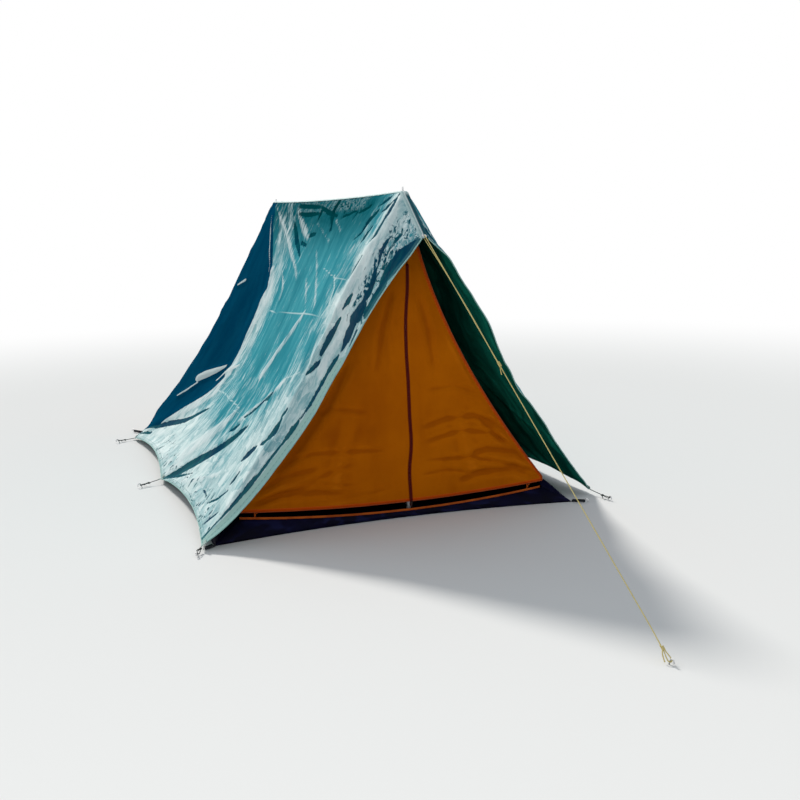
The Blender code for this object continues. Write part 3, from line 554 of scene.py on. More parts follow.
def tubCloth():
    finish = Finish("tubCloth", (0.004, 0.005, 0.022), 0.60, Specular_IOR_Level=0.05)
    spot = finish.place("Object")
    broad = finish.noise(spot, 9.0, 4.0)
    finish.base(broad.between(0.35, 0.7), (0.0008, 0.0008, 0.005), (0.0035, 0.0032, 0.020))
    # Painted highlight on the raised folds of the wall
    finish.over(finish.mark("fold").between(0.001, 0.004) * 0.6, (0.010, 0.012, 0.055))
    finish.paint(0.48 + broad * 0.25)
    return finish.bump(broad * 0.8 + finish.noise(spot, 130.0, 3.0) * 0.1, 0.004, 0.7)


def bindingTape():
    finish = Finish("bindingTape", (0.42, 0.075, 0.006), 0.75, Specular_IOR_Level=0.2)
    x, _, z = finish.split(finish.place("Object"))
    ribs = (x * 2400).sine() * 0.5 + (z * 2400).sine() * 0.5
    soft = finish.noise(finish.place("Object"), 22.0, 3.0)
    finish.base(soft.between(0.3, 0.7), (0.34, 0.058, 0.003), (0.50, 0.100, 0.008))
    finish.over(ribs.between(-0.6, 0.6) * 0.3, (0.26, 0.040, 0.002))
    finish.paint()
    return finish.bump(ribs, 0.0004, 0.6)


def ridgeTape():
    finish = Finish("ridgeTape", (0.30, 0.50, 0.50), 0.55, Specular_IOR_Level=0.06)
    spot = finish.place("Object")
    x, y, _ = finish.split(spot)
    stitch = x.size().near(0.0085, 0.0003, 0.0009) * (y * 1300).sine().between(-0.1, 0.3)
    soft = finish.noise(spot, 14.0, 3.0)
    bead = 1 - x.size().between(0.0032, 0.0044)
    overHood = y.size().between(0.965, 0.985)
    finish.base(soft.between(0.35, 0.7), (0.36, 0.52, 0.52), (0.52, 0.66, 0.65))
    finish.over(bead * 0.9, (0.72, 0.80, 0.78))
    # Painted shade on the half of the tape over each hood that faces away from the light
    finish.over(overHood * x.between(-0.004, 0.002), (0.003, 0.075, 0.100))
    finish.over(stitch * 0.35, (0.06, 0.19, 0.20))
    finish.paint(0.45 + soft * 0.2)
    return finish.bump((y * 2600).sine() * 0.3 + stitch * 1.0, 0.0005, 0.7)


def webbingFinish(name, low, high):
    finish = Finish(name, low, 0.8, Specular_IOR_Level=0.25)
    x, y, _ = finish.split(finish.place("Object"))
    ribs = ((x + y) * 2600).sine() * ((x - y) * 2600).sine()
    soft = finish.noise(finish.place("Object"), 60.0, 3.0)
    finish.base(ribs.between(-0.5, 0.5) * 0.6 + soft * 0.4, low, high)
    finish.paint(0.7 + soft * 0.15)
    return finish.bump(ribs, 0.0004, 0.7)


def zipFinish(name, low, high, pitch):
    finish = Finish(name, low, 0.6, Specular_IOR_Level=0.1)
    ribs = (finish.split(finish.place("Object"))[2] * pitch).sine()
    soft = finish.noise(finish.place("Object"), 40.0, 3.0)
    finish.base(ribs.between(-0.4, 0.7) * 0.6 + soft * 0.4, low, high)
    finish.paint(0.42 + soft * 0.2)
    return finish.bump(ribs, 0.0003, 0.5)


def steelFinish(name, low, high):
    finish = Finish(name, low, 0.36, 1.0)
    spot = finish.place("Object")
    grain = finish.noise(spot, 160.0, 3.0)
    finish.base(finish.noise(spot, 38.0, 1.0).between(0.35, 0.65), low, high)
    finish.paint(0.30 + grain * 0.2)
    return finish.bump(grain, 0.0002, 0.4)


def plasticFinish():
    finish = Finish("mouldedPlastic", (0.02, 0.02, 0.022), 0.5)
    spot = finish.place("Object")
    grain = finish.noise(spot, 420.0, 2.0)
    scuff = finish.noise(spot, 90.0, 3.0).between(0.55, 0.75)
    finish.base(scuff * 0.5, (0.018, 0.018, 0.020), (0.07, 0.07, 0.072))
    finish.paint(0.42 + grain * 0.16)
    return finish.bump(grain, 0.0002, 0.4)


def braid(name, light, dark):
    # Strands that cross round the cord, by its UV
    finish = Finish(name, light, 0.75, Specular_IOR_Level=0.25)
    around, along, _ = finish.split(finish.place("UV"))
    one = ((around * 2 + along * 190) * 6.28318).sine()
    two = ((around * 2 - along * 190) * 6.28318).sine()
    strands = one * two
    soft = finish.noise((around, along * 40), 1.0, 3.0)
    finish.base(strands.between(-0.5, 0.5) * 0.7 + soft * 0.3, dark, light)
    finish.paint(0.65 + soft * 0.2)
    return finish.bump(strands, 0.0005, 0.8)


finishes = {
    "flyOutside": flyOutside(),
    "flyInside": flyInside(),
    "flyPiping": pipingTape("flyPiping", (0.16, 0.36, 0.34), (0.34, 0.54, 0.50)),
    "inner": innerCloth(),
    "innerPiping": pipingTape("innerPiping", (0.27, 0.036, 0.002), (0.40, 0.066, 0.004)),
    "tub": tubCloth(),
    "binding": bindingTape(),
    "ridge": ridgeTape(),
    "darkWebbing": webbingFinish("darkWebbing", (0.004, 0.006, 0.009), (0.020, 0.026, 0.034)),
    "paleWebbing": webbingFinish("paleWebbing", (0.22, 0.34, 0.32), (0.44, 0.56, 0.52)),
    "zipTape": zipFinish("zipTape", (0.085, 0.003, 0.0), (0.130, 0.006, 0.001), 1500),
    "zipCoil": zipFinish("zipCoil", (0.040, 0.002, 0.002), (0.090, 0.006, 0.004), 2900),
    "steel": steelFinish("galvanised", (0.40, 0.41, 0.43), (0.62, 0.63, 0.64)),
    "slider": steelFinish("agedSlider", (0.030, 0.018, 0.016), (0.060, 0.040, 0.034)),
    "plastic": plasticFinish(),
    "guy": braid("guyBraid", (0.80, 0.68, 0.29), (0.52, 0.41, 0.12)),
    "darkCord": braid("darkCord", (0.05, 0.07, 0.07), (0.012, 0.018, 0.020)),
}
print("finishes made")

# The photo's view, in degrees; its lens is 1044 pixels long on a frame 800 pixels wide
view = {
    "place": (-1.324, -4.498, 1.099),
    "yaw": 20.1,
    "down": 9.95,
    "roll": -1.09,
    "sensor": 36,
    "lens": 1044 / 800 * 36,
}


def makeCamera():
    yaw, down, roll = (math.radians(view[key]) for key in ("yaw", "down", "roll"))
    ahead = Vector((math.sin(yaw) * math.cos(down), math.cos(yaw) * math.cos(down), -math.sin(down)))
    level = Vector((math.cos(yaw), -math.sin(yaw), 0))
    above = level.cross(ahead)
    right = math.cos(roll) * level + math.sin(roll) * above
    up = -math.sin(roll) * level + math.cos(roll) * above
    data = bpy.data.cameras.new("photoView")
    data.lens = view["lens"]
    data.sensor_width = view["sensor"]
    data.sensor_fit = "HORIZONTAL"
    camera = link("photoView", data)
    turn = Matrix((right, up, -ahead)).transposed().to_4x4()
    camera.matrix_world = Matrix.Translation(view["place"]) @ turn
    bpy.context.scene.camera = camera


stage = {
    "sunFrom": (-0.155, 0.774, 0.614),
    "sun": 2.9,
    "sunWidth": 9,
    "sunColour": (1.0, 0.97, 0.92),
    "sky": (0.86, 0.93, 1.0),
    "skyStrength": 0.50,
    "fill": 30,
    "fillSize": 3.0,
    "fillPlace": (-3.0, -5.0, 2.6),
    "fillAim": (0, 0, 0.4),
    "floor": (0.78, 0.78, 0.77),
    "floorSize": 60,
    "floorZ": -0.001,
    "fade": (2.6, 7.0),
}


def makeLight(name, kind, energy, place, toward, **settings):
    data = bpy.data.lights.new(name, kind)
    data.energy = energy
    for key, value in settings.items():
        setattr(data, key, value)
    light = link(name, data)
    light.location = place
    light.rotation_euler = toward.to_track_quat("-Z", "Y").to_euler()


def makeLights():
    width, place = math.radians(stage["sunWidth"]), stage["fillPlace"]
    toward = -Vector(stage["sunFrom"])
    makeLight("sun", "SUN", stage["sun"], (0, 0, 0), toward, angle=width, color=stage["sunColour"])
    toward = Vector(stage["fillAim"]) - Vector(place)
    makeLight("fill", "AREA", stage["fill"], place, toward, size=stage["fillSize"])


def blendShaders(tree, amount, first, second, output):
    both = tree.nodes.new("ShaderNodeMixShader")
    for slot, socket in zip(both.inputs, (amount.socket, first, second)):
        tree.links.new(socket, slot)
    tree.links.new(both.outputs[0], tree.nodes[output].inputs["Surface"])


def makeFloor():
    # The floor fades into the white behind it, for the camera alone
    bpy.ops.mesh.primitive_plane_add(size=stage["floorSize"])
    floor = bpy.context.object
    floor.name = "floor"
    floor.location = (0, 0, stage["floorZ"])
    settle(floor)
    finish = Finish("paleFloor", stage["floor"], 0.9, Specular_IOR_Level=0.0)
    away = finish.add("VectorMath", {"operation": "LENGTH"}, output="Value")
    feed(finish.tree, away.socket.node.inputs[0], finish.place())
    seen = finish.add("LightPath", output="Is Camera Ray")
    glow = finish.add("Emission", Color=(1, 1, 1), Strength=1.0)
    faded = away.between(*stage["fade"]) * seen
    blendShaders(finish.tree, faded, finish.shader.outputs[0], glow.socket, "Material Output")
    floor.data.materials.append(finish.material)


def makeSky():
    # Pale blue light, which is seen as white by the camera and in reflections
    world = bpy.data.worlds.new("softSky")
    bpy.context.scene.world = world
    world.use_nodes = True
    tree = world.node_tree
    sky, shown = tree.nodes["Background"], tree.nodes.new("ShaderNodeBackground")
    for node, colour, strength in ((sky, stage["sky"], stage["skyStrength"]), (shown, (1, 1, 1), 1.0)):
        feed(tree, node.inputs["Color"], colour)
        feed(tree, node.inputs["Strength"], strength)
    path = tree.nodes.new("ShaderNodeLightPath")
    rays = [Wire(tree, path.outputs[key]) for key in ("Is Camera Ray", "Is Glossy Ray", "Is Transmission Ray")]
    blendShaders(tree, rays[0].most(rays[1]).most(rays[2]), sky.outputs[0], shown.outputs[0], "World Output")
    bpy.context.scene.view_settings.view_transform = "Standard"


makeCamera()
makeLights()
makeFloor()
makeSky()
print("camera and stage made")

guy = {
    "radius": 0.0015,
    "bend": 0.006,
    "fromEyelet": 0.62,
    "eyeletUp": 0.012,
    "pegSpot": (0.120, -2.447),
    "knotBack": 0.034,
    "knot": {"turns": 3, "radius": 0.0046, "length": 0.012},
    "hitch": {"turns": 5, "radius": 0.0046, "length": 0.019, "tail": 0.7},
    # The line's steps, and those of the slack strand that returns
    "steps": 27,
    "backSteps": 24,
    "slack": (0.010, 0, -0.006),
}
pegs = {"neck": 0.014, "lean": 22}

# The loop round a peg: how far its middle is under the peg's neck and before it, where the straight
# line ends, and where the line runs on each side, as places back from the middle and beside it
noose = {
    "radius": 0.0062,
    "under": 0.003,
    "before": 0.0035,
    "straight": 0.030,
    "coming": [(0.024, 0.0022), (0.010, 0.0052)],
    "leaving": [(0.010, -0.0052), (0.024, -0.0024), (0.036, -0.0031)],
    "points": 9,
}

# A wound knot: points a turn, how far before it the cord comes in, how closely the turns lie, how
# much thicker the cord is there, and how far its tail drops
wound = {"points": 14, "before": 0.004, "packed": 0.72, "thicker": 1.02, "drop": 0.012, "tailPoints": 8}


def dress(slot, body, *pieces):
    for piece in pieces:
        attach(piece, body)


def laySheet(piece, points, flat, held, over, **more):
    area = areaOf(points)
    print(piece.name, "area", round(area, 3))


def pegLine(spot, outward):
    lean = math.radians(pegs["lean"])
    shank = (outward * math.sin(lean) + Vector((0, 0, math.cos(lean)))).normalized()
    return shank, Vector((*spot, 0)) + shank * pegs["neck"]


def guyRoute():
    # The front hood's eyelet, the ways down its tape and out of it, then the taut line to the peg
    down = Vector((0, -(tent["hoodReach"] - tent["pad"]), -tent["hoodDrop"])).normalized()
    out = Vector((0, down.z, -down.y))
    tip = Vector((0, -(tent["polesY"] + tent["hoodReach"]), tent["flyTapeZ"] - tent["hoodDrop"]))
    centre = tip - down * guy["eyeletUp"]
    start = centre + down * guy["bend"] + out * guy["bend"]
    outward = Vector((*guy["pegSpot"], 0)) - centre
    outward = Vector((outward.x, outward.y, 0)).normalized()
    shank, neck = pegLine(guy["pegSpot"], outward)
    return centre, down, out, start, (neck - start).normalized(), neck, shank


def arcPoints(centre, across, up, radius, start, end, count):
    angles = [mix(start, end, k / (count - 1)) for k in range(count)]
    return [centre + radius * (math.cos(a) * across + math.sin(a) * up) for a in angles]


def pegLoop(start, way, neck, shank, steps):
    # The line runs to the peg, goes round its neck and comes back beside itself
    side = way.cross(Vector((0, 0, 1))).normalized()
    hub = neck - shank * noose["under"] - way * (noose["radius"] - noose["before"])
    route = [start.lerp(hub - way * noose["straight"], t / steps) for t in range(1, steps)]
    route += [hub - way * back + side * aside for back, aside in noose["coming"]]
    route += arcPoints(hub, side, way, noose["radius"], 0.0, math.pi, noose["points"])
    route += [hub - way * back + side * aside for back, aside in noose["leaving"]]
    return route, hub, side


def woundKnot(name, centre, way, side, finish, turns, radius, length, tail=1.0):
    # Turns of cord packed side by side round the taut line, with a short tail
    other = way.cross(side)
    count = turns * wound["points"]
    route = [centre - way * (length * 0.5 + wound["before"]) + side * radius * 0.3 + other * radius * 0.5]
    for k in range(count + 1):
        a = 2 * math.pi * turns * k / count
        spoke = math.cos(a) * side + math.sin(a) * other
        route.append(centre + way * ((k / count - 0.5) * length) + radius * spoke * wound["packed"])
    end, drop = route[-1], Vector((0, 0, wound["drop"])) * tail
    bends = [end + side * 0.004 + way * 0.003, end + side * 0.007 + way * 0.012 * tail - drop * 0.4]
    bends.append(end + side * 0.006 + way * 0.020 * tail - drop)
    route += curveThrough([end, *bends], wound["tailPoints"])[1:]
    return tubeAlong(name, route, guy["radius"] * wound["thicker"], finish)


def makeGuyLine():
    centre, down, out, start, way, neck, shank = guyRoute()
    bend = arcPoints(centre + down * guy["bend"], down, out, guy["bend"], math.pi, math.pi / 2, 7)
    rest, hub, side = pegLoop(start, way, neck, shank, guy["steps"])
    route = [*bend, *rest]
    line = tubeAlong("guyLine", route, guy["radius"], finishes["guy"])
    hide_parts("guy_line")
    at = hub - way * guy["knotBack"]
    knot = woundKnot("guyPegKnot", at, way, side, finishes["guy"], **guy["knot"])
    dress("guy_cord", "tent", line, knot)


def makeHitch():
    centre, down, out, start, way = guyRoute()[:5]
    at = start + way * guy["fromEyelet"]
    side = (-out - way * way.dot(-out)).normalized()
    hitch = woundKnot("guyHitch", at, way, side, finishes["guy"], **guy["hitch"])
    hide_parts("guy_hitch")
    dress("guy_cord", "guy_hitch", hitch)
    back = arcPoints(centre + down * guy["bend"], down, -out, guy["bend"], math.pi, math.pi / 2, 7)
    landing = at + side * 0.0034 - way * 0.010
    span, steps = landing - back[-1], guy["backSteps"]
    slack = [Vector(guy["slack"]) * math.sin(math.pi * k / steps) for k in range(1, steps + 1)]
    route = [*back, *(back[-1] + span * (k + 1) / steps + slack[k] for k in range(steps))]
    piece = tubeAlong("guyReturn", route, guy["radius"], finishes["guy"])
    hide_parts("guy_return")
    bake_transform(piece)


makeGuyLine()
makeHitch()
print("guy line made")

fly = {
    "cells": (320, 140),
    "flat": (1.46, 2.36),
    "hood": 2 / 22,
    "hoodHem": 0.02,
    "scallop": 0.035,
    "rise": 0.030,
    "reach": {"left": 0.55, "right": 0.45},
    "piping": 0.0022,
    "hemBand": 0.045,
    "hemTurn": 0.016,
    # How far the left front edge falls in, by share of the slope, both in thousandths
    "frontFall": [
        (0, 0), (50, 7), (100, 9), (200, 16), (300, 27), (400, 30), (500, 26), (600, 19), (700, 11), (800, 5),
        (1000, 0),
    ],
    "fallReach": 0.26,
    "hoodSlack": 0.036,
    # Place along the ridge: how far the cloth hangs in, how low that is, how far it stands out above
    "hang": {
        "left": [
            (0.0, 0.047, 2.40, 0.018), (0.09, 0.028, 2.00, 0.010), (0.45, 0.080, 1.25, 0.0),
            (0.76, 0.145, 1.25, 0.0), (0.91, 0.058, 1.25, 0.0), (1.0, 0.060, 1.25, 0.0),
        ],
        "right": [
            (0.0, 0.022, 1.30, 0.034), (0.09, 0.022, 1.30, 0.030), (0.45, 0.085, 1.50, 0.0),
            (0.76, 0.110, 1.50, 0.0), (0.91, 0.058, 1.25, 0.0), (1.0, 0.060, 1.25, 0.0),
        ],
    },
    "hemPoints": {
        "left": [(-0.796, -1.085, 0.020), (-0.798, -0.088, 0.020), (-0.802, 0.888, 0.008)],
        "right": [(0.757, -0.977, 0.020), (0.798, -0.060, 0.020), (0.802, 0.888, 0.008)],
    },
    "stations": ("front", "middle", "rear"),
    "pegSpots": {
        "left": [(-0.8185, -1.132), (-0.884, -0.121), (-0.883, 0.852)],
        "right": [(0.778, -1.086), (0.884, -0.100), (0.883, 0.860)],
    },
    "tabs": {"left": ("paleWebbing", "paleWebbing", "darkWebbing"), "right": ("paleWebbing",) * 3},
    "knot": {"turns": 2, "radius": 0.0042, "length": 0.007, "tail": 0.6},
}

# The tab at a peg cord: its width on the hem and at its tip, how far it goes up and down from the
# hem's edge, how far it stands off the cloth, and where the cord starts
tab = {
    "cells": (8, 14),
    "thickness": 0.0014,
    "width": (0.034, 0.011),
    "reach": (-0.020, 0.013),
    "lift": (0.0022, 0.0008),
    "cordFrom": 0.008,
    "cordSteps": 5,
}

# Creases in the flysheet. Each line has three numbers a point, in thousandths: share of the ridge,
# share of the slope, and half width in metres. Dark ones fold inwards in painted shade, pale ones
# catch the sky in painted glare, threads are the marks of the imported cloth's folds and painted
# light flaps stand up out of the shaded rear
flyCreases = {
    "left": {
        "dark": [
            (0, 0, 4, 5, 29, 17, 9, 67, 31, 14, 100, 33, 16, 138, 29, 16, 167, 21),
            (7, 154, 9, 7, 188, 26, 7, 208, 27, 9, 233, 22, 9, 258, 17),
            (45, 175, 13, 39, 196, 19, 32, 217, 19, 34, 242, 13, 32, 263, 16, 36, 304, 19),
            (39, 46, 4, 41, 71, 11, 43, 92, 4), (57, 87, 4, 57, 113, 8, 55, 133, 9, 50, 150, 8, 45, 167, 4),
            (43, 96, 6, 39, 125, 4), (91, 4, 5, 89, 25, 9, 89, 62, 11, 91, 100, 11, 89, 125, 10, 95, 150, 4),
            (116, 8, 4, 136, 25, 12, 155, 42, 5), (93, 25, 3, 111, 46, 15, 125, 58, 5),
            (145, 58, 13, 161, 92, 17, 164, 125, 9, 186, 146, 4), (130, 104, 7, 136, 138, 13, 143, 154, 5),
            (95, 192, 6, 98, 217, 10, 102, 254, 5), (502, 25, 9, 582, 21, 13, 668, 17, 12),
            (502, 46, 9, 570, 50, 13, 645, 46, 9), (495, 25, 8, 432, 46, 13, 366, 62, 7),
            (398, 13, 23, 400, 50, 23), (332, 62, 8, 286, 54, 9, 259, 46, 4),
            (248, 62, 4, 216, 50, 10, 191, 37, 7), (366, 13, 4, 309, 42, 5), (482, 75, 7, 480, 50, 19),
            (407, 62, 6, 364, 108, 3), (257, 75, 5, 252, 58, 16), (68, 275, 7, 68, 292, 13, 73, 321, 6),
            (68, 342, 8, 73, 388, 18, 75, 446, 16), (30, 308, 23, 25, 342, 28, 23, 383, 8),
            (25, 254, 19, 25, 283, 24, 36, 312, 15), (9, 308, 8, 7, 338, 8, 5, 358, 3),
            (68, 467, 14, 82, 500, 13, 91, 521, 6), (550, 146, 12, 498, 154, 9), (491, 121, 14, 464, 117, 9),
            (666, 83, 16, 605, 138, 22, 514, 192, 7), (391, 62, 18, 373, 108, 9),
            (895, 950, 7, 848, 929, 15, 816, 904, 20, 750, 858, 22, 705, 808, 17, 664, 779, 4),
            (493, 1000, 5, 470, 975, 19, 448, 950, 35, 414, 908, 38, 380, 871, 30, 332, 812, 27, 305, 771,
             25, 275, 738, 7), (477, 992, 5, 423, 967, 10, 380, 942, 3), (375, 875, 17, 343, 842, 4),
            (368, 779, 8, 350, 767, 13, 336, 750, 7), (330, 725, 6, 282, 679, 10, 252, 650, 8),
            (255, 650, 7, 230, 633, 18, 216, 617, 10), (91, 650, 11, 89, 675, 28, 102, 708, 17, 109, 729, 7),
            (93, 625, 13, 98, 646, 6), (100, 717, 5, 118, 733, 9), (134, 754, 13, 152, 779, 22, 168, 804, 12),
            (141, 829, 8, 143, 850, 14, 148, 867, 8), (139, 883, 5, 161, 921, 9, 198, 958, 4),
            (259, 950, 5, 211, 954, 5), (307, 1000, 2, 266, 992, 3), (257, 1000, 2, 227, 992, 3),
            (934, 983, 5, 855, 963, 10), (111, 929, 3, 125, 954, 7, 143, 992, 4),
        ],
        "pale": [
            (86, 4, 11, 82, 42, 28, 77, 87, 44, 77, 133, 43, 75, 183, 48, 77, 237, 51, 77, 287, 43, 80,
             342, 39), (55, 208, 13, 41, 263, 25, 45, 338, 30, 45, 404, 30, 50, 471, 33),
            (0, 83, 2, 5, 117, 5, 0, 154, 4), (0, 212, 3, 2, 229, 8, 0, 292, 8, 0, 354, 6, 0, 412, 4),
            (5, 0, 2, 20, 37, 7, 30, 83, 8, 32, 129, 9, 39, 167, 6), (34, 54, 6, 43, 96, 6, 45, 146, 5),
            (861, 13, 5, 743, 92, 16, 620, 175, 24, 498, 233, 11, 461, 271, 6),
            (666, 25, 16, 627, 62, 17, 559, 100, 27, 491, 133, 10), (723, 42, 4, 655, 75, 7),
            (468, 83, 3, 345, 146, 6), (357, 75, 7, 298, 113, 5), (407, 175, 8, 307, 279, 10, 211, 358, 7),
            (400, 267, 8, 307, 358, 8), (652, 242, 11, 548, 308, 15, 534, 338, 18),
            (289, 379, 20, 330, 442, 34, 364, 504, 29, 386, 583, 36),
            (741, 263, 51, 720, 338, 76, 750, 404, 84, 761, 487, 71, 748, 558, 76),
            (89, 300, 9, 84, 358, 12, 86, 425, 11, 93, 467, 15),
            (395, 713, 21, 423, 771, 43, 461, 829, 49, 500, 892, 64, 495, 954, 33, 500, 992, 14),
            (168, 562, 15, 218, 621, 18, 316, 700, 19, 348, 742, 16),
            (727, 608, 64, 736, 700, 76, 777, 787, 49, 832, 875, 37, 886, 942, 31),
            (5, 617, 6, 23, 700, 15, 30, 796, 15, 45, 867, 10), (909, 996, 3, 718, 996, 13, 539, 958, 15),
            (450, 1000, 2, 345, 963, 18, 239, 887, 14),
        ],
        "thread": [
            (627, 388, 3, 425, 379, 2, 302, 379, 3, 116, 375, 2), (302, 233, 2, 184, 263, 2, 111, 263, 2),
            (189, 254, 4, 150, 292, 5, 136, 333, 7), (720, 717, 3, 500, 688, 3, 398, 708, 3),
            (420, 721, 2, 366, 725, 2, 282, 733, 2), (798, 917, 3, 655, 912, 3, 498, 871, 3),
            (359, 942, 3, 266, 954, 2, 202, 958, 2), (182, 738, 2, 127, 725, 2, 93, 713, 2),
            (150, 779, 4, 114, 746, 4), (655, 758, 6, 693, 783, 6), (168, 562, 3, 118, 529, 3),
        ],
        "flap": [
            (841, 708, 23, 827, 688, 25, 802, 658, 19, 775, 625, 6), (834, 725, 5, 850, 762, 6, 868, 800, 5),
            (773, 688, 7, 736, 637, 13, 668, 600, 7), (861, 50, 2, 825, 113, 5, 793, 183, 5, 755, 258, 3),
            (857, 312, 8, 880, 338, 5),
        ],
    },
    "right": {
        "dark": [
            (20, 0, 20, 30, 80, 45, 40, 200, 45, 45, 320, 10), (90, 6, 3, 110, 60, 10, 135, 140, 10, 150, 230, 3),
            (100, 4, 2, 140, 30, 9, 180, 70, 9, 215, 120, 2), (70, 90, 2, 60, 200, 9, 50, 330, 9, 35, 470, 2),
            (910, 6, 3, 885, 80, 10, 860, 170, 10, 845, 260, 3), (900, 4, 2, 850, 30, 9, 800, 80, 2),
            (510, 985, 3, 440, 900, 10, 360, 800, 10, 300, 700, 3),
            (520, 985, 3, 600, 890, 10, 670, 780, 10, 710, 660, 3),
            (30, 960, 2, 100, 860, 9, 180, 740, 9, 230, 620, 2),
            (965, 960, 2, 890, 870, 9, 820, 760, 9, 780, 640, 2), (640, 34, 2, 540, 40, 7, 450, 36, 2),
        ],
        "pale": [
            (86, 0, 5, 84, 200, 20, 72, 400, 20, 50, 600, 5),
            (400, 60, 5, 385, 200, 17, 400, 380, 17, 430, 560, 5), (620, 50, 4, 600, 180, 16, 620, 330, 4),
        ],
        "thread": [
            (200, 377, 2, 450, 383, 2, 800, 375, 2), (150, 700, 2, 500, 710, 2, 850, 700, 2),
            (500, 60, 2, 500, 500, 2, 497, 950, 2),
        ],
        "flap": [],
    },
}

# How much painted sheen the cloth has at these shares of the ridge and of the slope, all in thousandths
flySheen = {
    "left": [
        (30, 50, 600), (50, 160, 650), (85, 60, 920), (85, 200, 960), (80, 340, 940), (120, 100, 450),
        (200, 20, 0), (350, 20, 0), (500, 20, 0), (620, 20, 100), (380, 60, 0), (550, 60, 100), (140, 240, 400),
        (200, 100, 220), (350, 80, 150), (500, 150, 300), (600, 100, 280), (700, 100, 550), (700, 240, 620),
        (700, 360, 750), (700, 480, 750), (690, 580, 600), (600, 300, 360), (600, 450, 320), (500, 450, 180),
        (350, 300, 170), (300, 450, 170), (220, 300, 250), (130, 450, 400), (80, 460, 750), (50, 620, 750),
        (30, 800, 800), (130, 620, 720), (150, 750, 840), (220, 560, 350), (350, 680, 420), (300, 820, 700),
        (200, 900, 800), (100, 900, 800), (450, 700, 420), (500, 880, 850), (600, 720, 450), (600, 850, 750),
        (700, 900, 900), (700, 720, 600), (800, 950, 900), (920, 985, 800), (50, 970, 750), (350, 970, 900),
        (650, 970, 950), (860, 200, 200), (880, 500, 150), (920, 800, 300), (970, 400, 200),
    ],
    "right": [
        (50, 200, 400), (80, 550, 320), (200, 150, 220), (300, 450, 140), (500, 300, 180), (500, 700, 220),
        (750, 250, 250), (750, 600, 180), (920, 200, 360), (920, 600, 290), (200, 920, 430), (500, 950, 470),
        (800, 920, 430),
    ],
}

# The rear part turns away from the light on the left and is painted in shade: share of the slope,
# then the share of the ridge where that begins, in thousandths
flyDusk = [
    (0, 875), (50, 848), (144, 797), (239, 752), (311, 736), (356, 755), (422, 755), (489, 758), (556, 746),
    (622, 744), (667, 735), (711, 752), (828, 812), (922, 850), (975, 930), (1000, 1020),
]


def hoodFall(y):
    beyond = np.maximum(0, np.abs(y) - tent["polesY"] - tent["pad"])
    return tent["hoodDrop"] * beyond / (tent["hoodReach"] - tent["pad"])


def hang(y, depth):
    return depth * np.maximum(0, 1 - (y / (tent["polesY"] - tent["pad"])) ** 2)


def flyRidgeZ(y):
    return tent["flyTapeZ"] - hang(y, tent["flyHang"]) - hoodFall(y)


def innerRidgeZ(y):
    return tent["innerTapeZ"] - hang(y, tent["innerHang"]) - hoodFall(y)


def flyRidgeY(u):
    hood, end, start = fly["hood"], tent["polesY"] + tent["hoodReach"], tent["polesY"] + tent["pad"]
    middle = mix(-start, start, (u - hood) / (1 - 2 * hood))
    rear = np.where(u > 1 - hood, mix(start, end, (u - 1 + hood) / hood), middle)
    return np.where(u < hood, mix(-end, -start, u / hood), rear)


def hemShare(u):
    hood, share = fly["hood"], fly["hoodHem"]
    middle = mix(share, 1 - share, (u - hood) / (1 - 2 * hood))
    rear = np.where(u > 1 - hood, 1 - share * (1 - u) / hood, middle)
    return np.where(u < hood, share * u / hood, rear)


def flyHem(side, u):
    along = hemShare(u)
    first = (along >= 0.5).astype(int)
    t = 2 * along - first
    knots = np.array(fly["hemPoints"][side])
    point = mix(knots[first], knots[first + 1], t[..., None])
    bow = 4 * t * (1 - t)
    point[..., 0] -= tent["sides"][side] * fly["scallop"] * bow
    point[..., 2] += fly["rise"] * bow
    return point


def flyHang(side, u, v):
    values = []
    places = fly["hang"][side]
    for column in (1, 2, 3):
        value = np.full(u.shape, places[-1][column], float)
        for here, after in reversed(list(zip(places, places[1:]))):
            eased = mix(here[column], after[column], ease((u - here[0]) / (after[0] - here[0])))
            value = np.where(u <= after[0], eased, value)
        values.append(value)
    depth, skew, puff = values
    low = v**skew
    high = np.minimum(1, v / fly["reach"][side])
    return 4 * (depth * low * (1 - low) - puff * high * (1 - high))


def flyBase(side, u, v):
    sign = tent["sides"][side]
    y = flyRidgeY(u)
    top = np.stack([np.full(u.shape, sign * tent["tapeEdge"]), y, flyRidgeZ(y)], axis=-1)
    slope = flyHem(side, u) - top
    inward = np.stack([sign * slope[..., 2], np.zeros(u.shape), -sign * slope[..., 0]], axis=-1)
    inward /= np.linalg.norm(inward, axis=-1, keepdims=True)
    return top + slope * v[..., None] + inward * flyHang(side, u, v)[..., None]


def rising(value, start, span):
    return ease((value - start) / span)


def falling(value, start, span):
    return 1 - rising(value, start, span)


def byThousandths(rows):
    return zip(*([value / 1000 for value in row] for row in rows))


def creaseField(lines, s, t, reach=0.024):
    # 0.5 on a crease's edge, more inside it and less outside, so that the finish can cut it crisply
    field = np.zeros(s.shape)
    for line in lines:
        us, vs, widths = ([value / 1000 for value in line[k::3]] for k in range(3))
        spots = [(u * flyLong, v * flyDeep, w) for u, v, w in zip(us, vs, widths)]
        for (ax, ay, w0), (bx, by, w1) in zip(spots, spots[1:]):
            ahead = (s - ax) * (bx - ax) + (t - ay) * (by - ay)
            share = np.clip(ahead / ((bx - ax) ** 2 + (by - ay) ** 2), 0, 1)
            d = np.hypot(s - ax - share * (bx - ax), t - ay - share * (by - ay))
            field = np.maximum(field, np.clip(0.5 + (mix(w0, w1, share) - d) / reach, 0, 1))
    return field


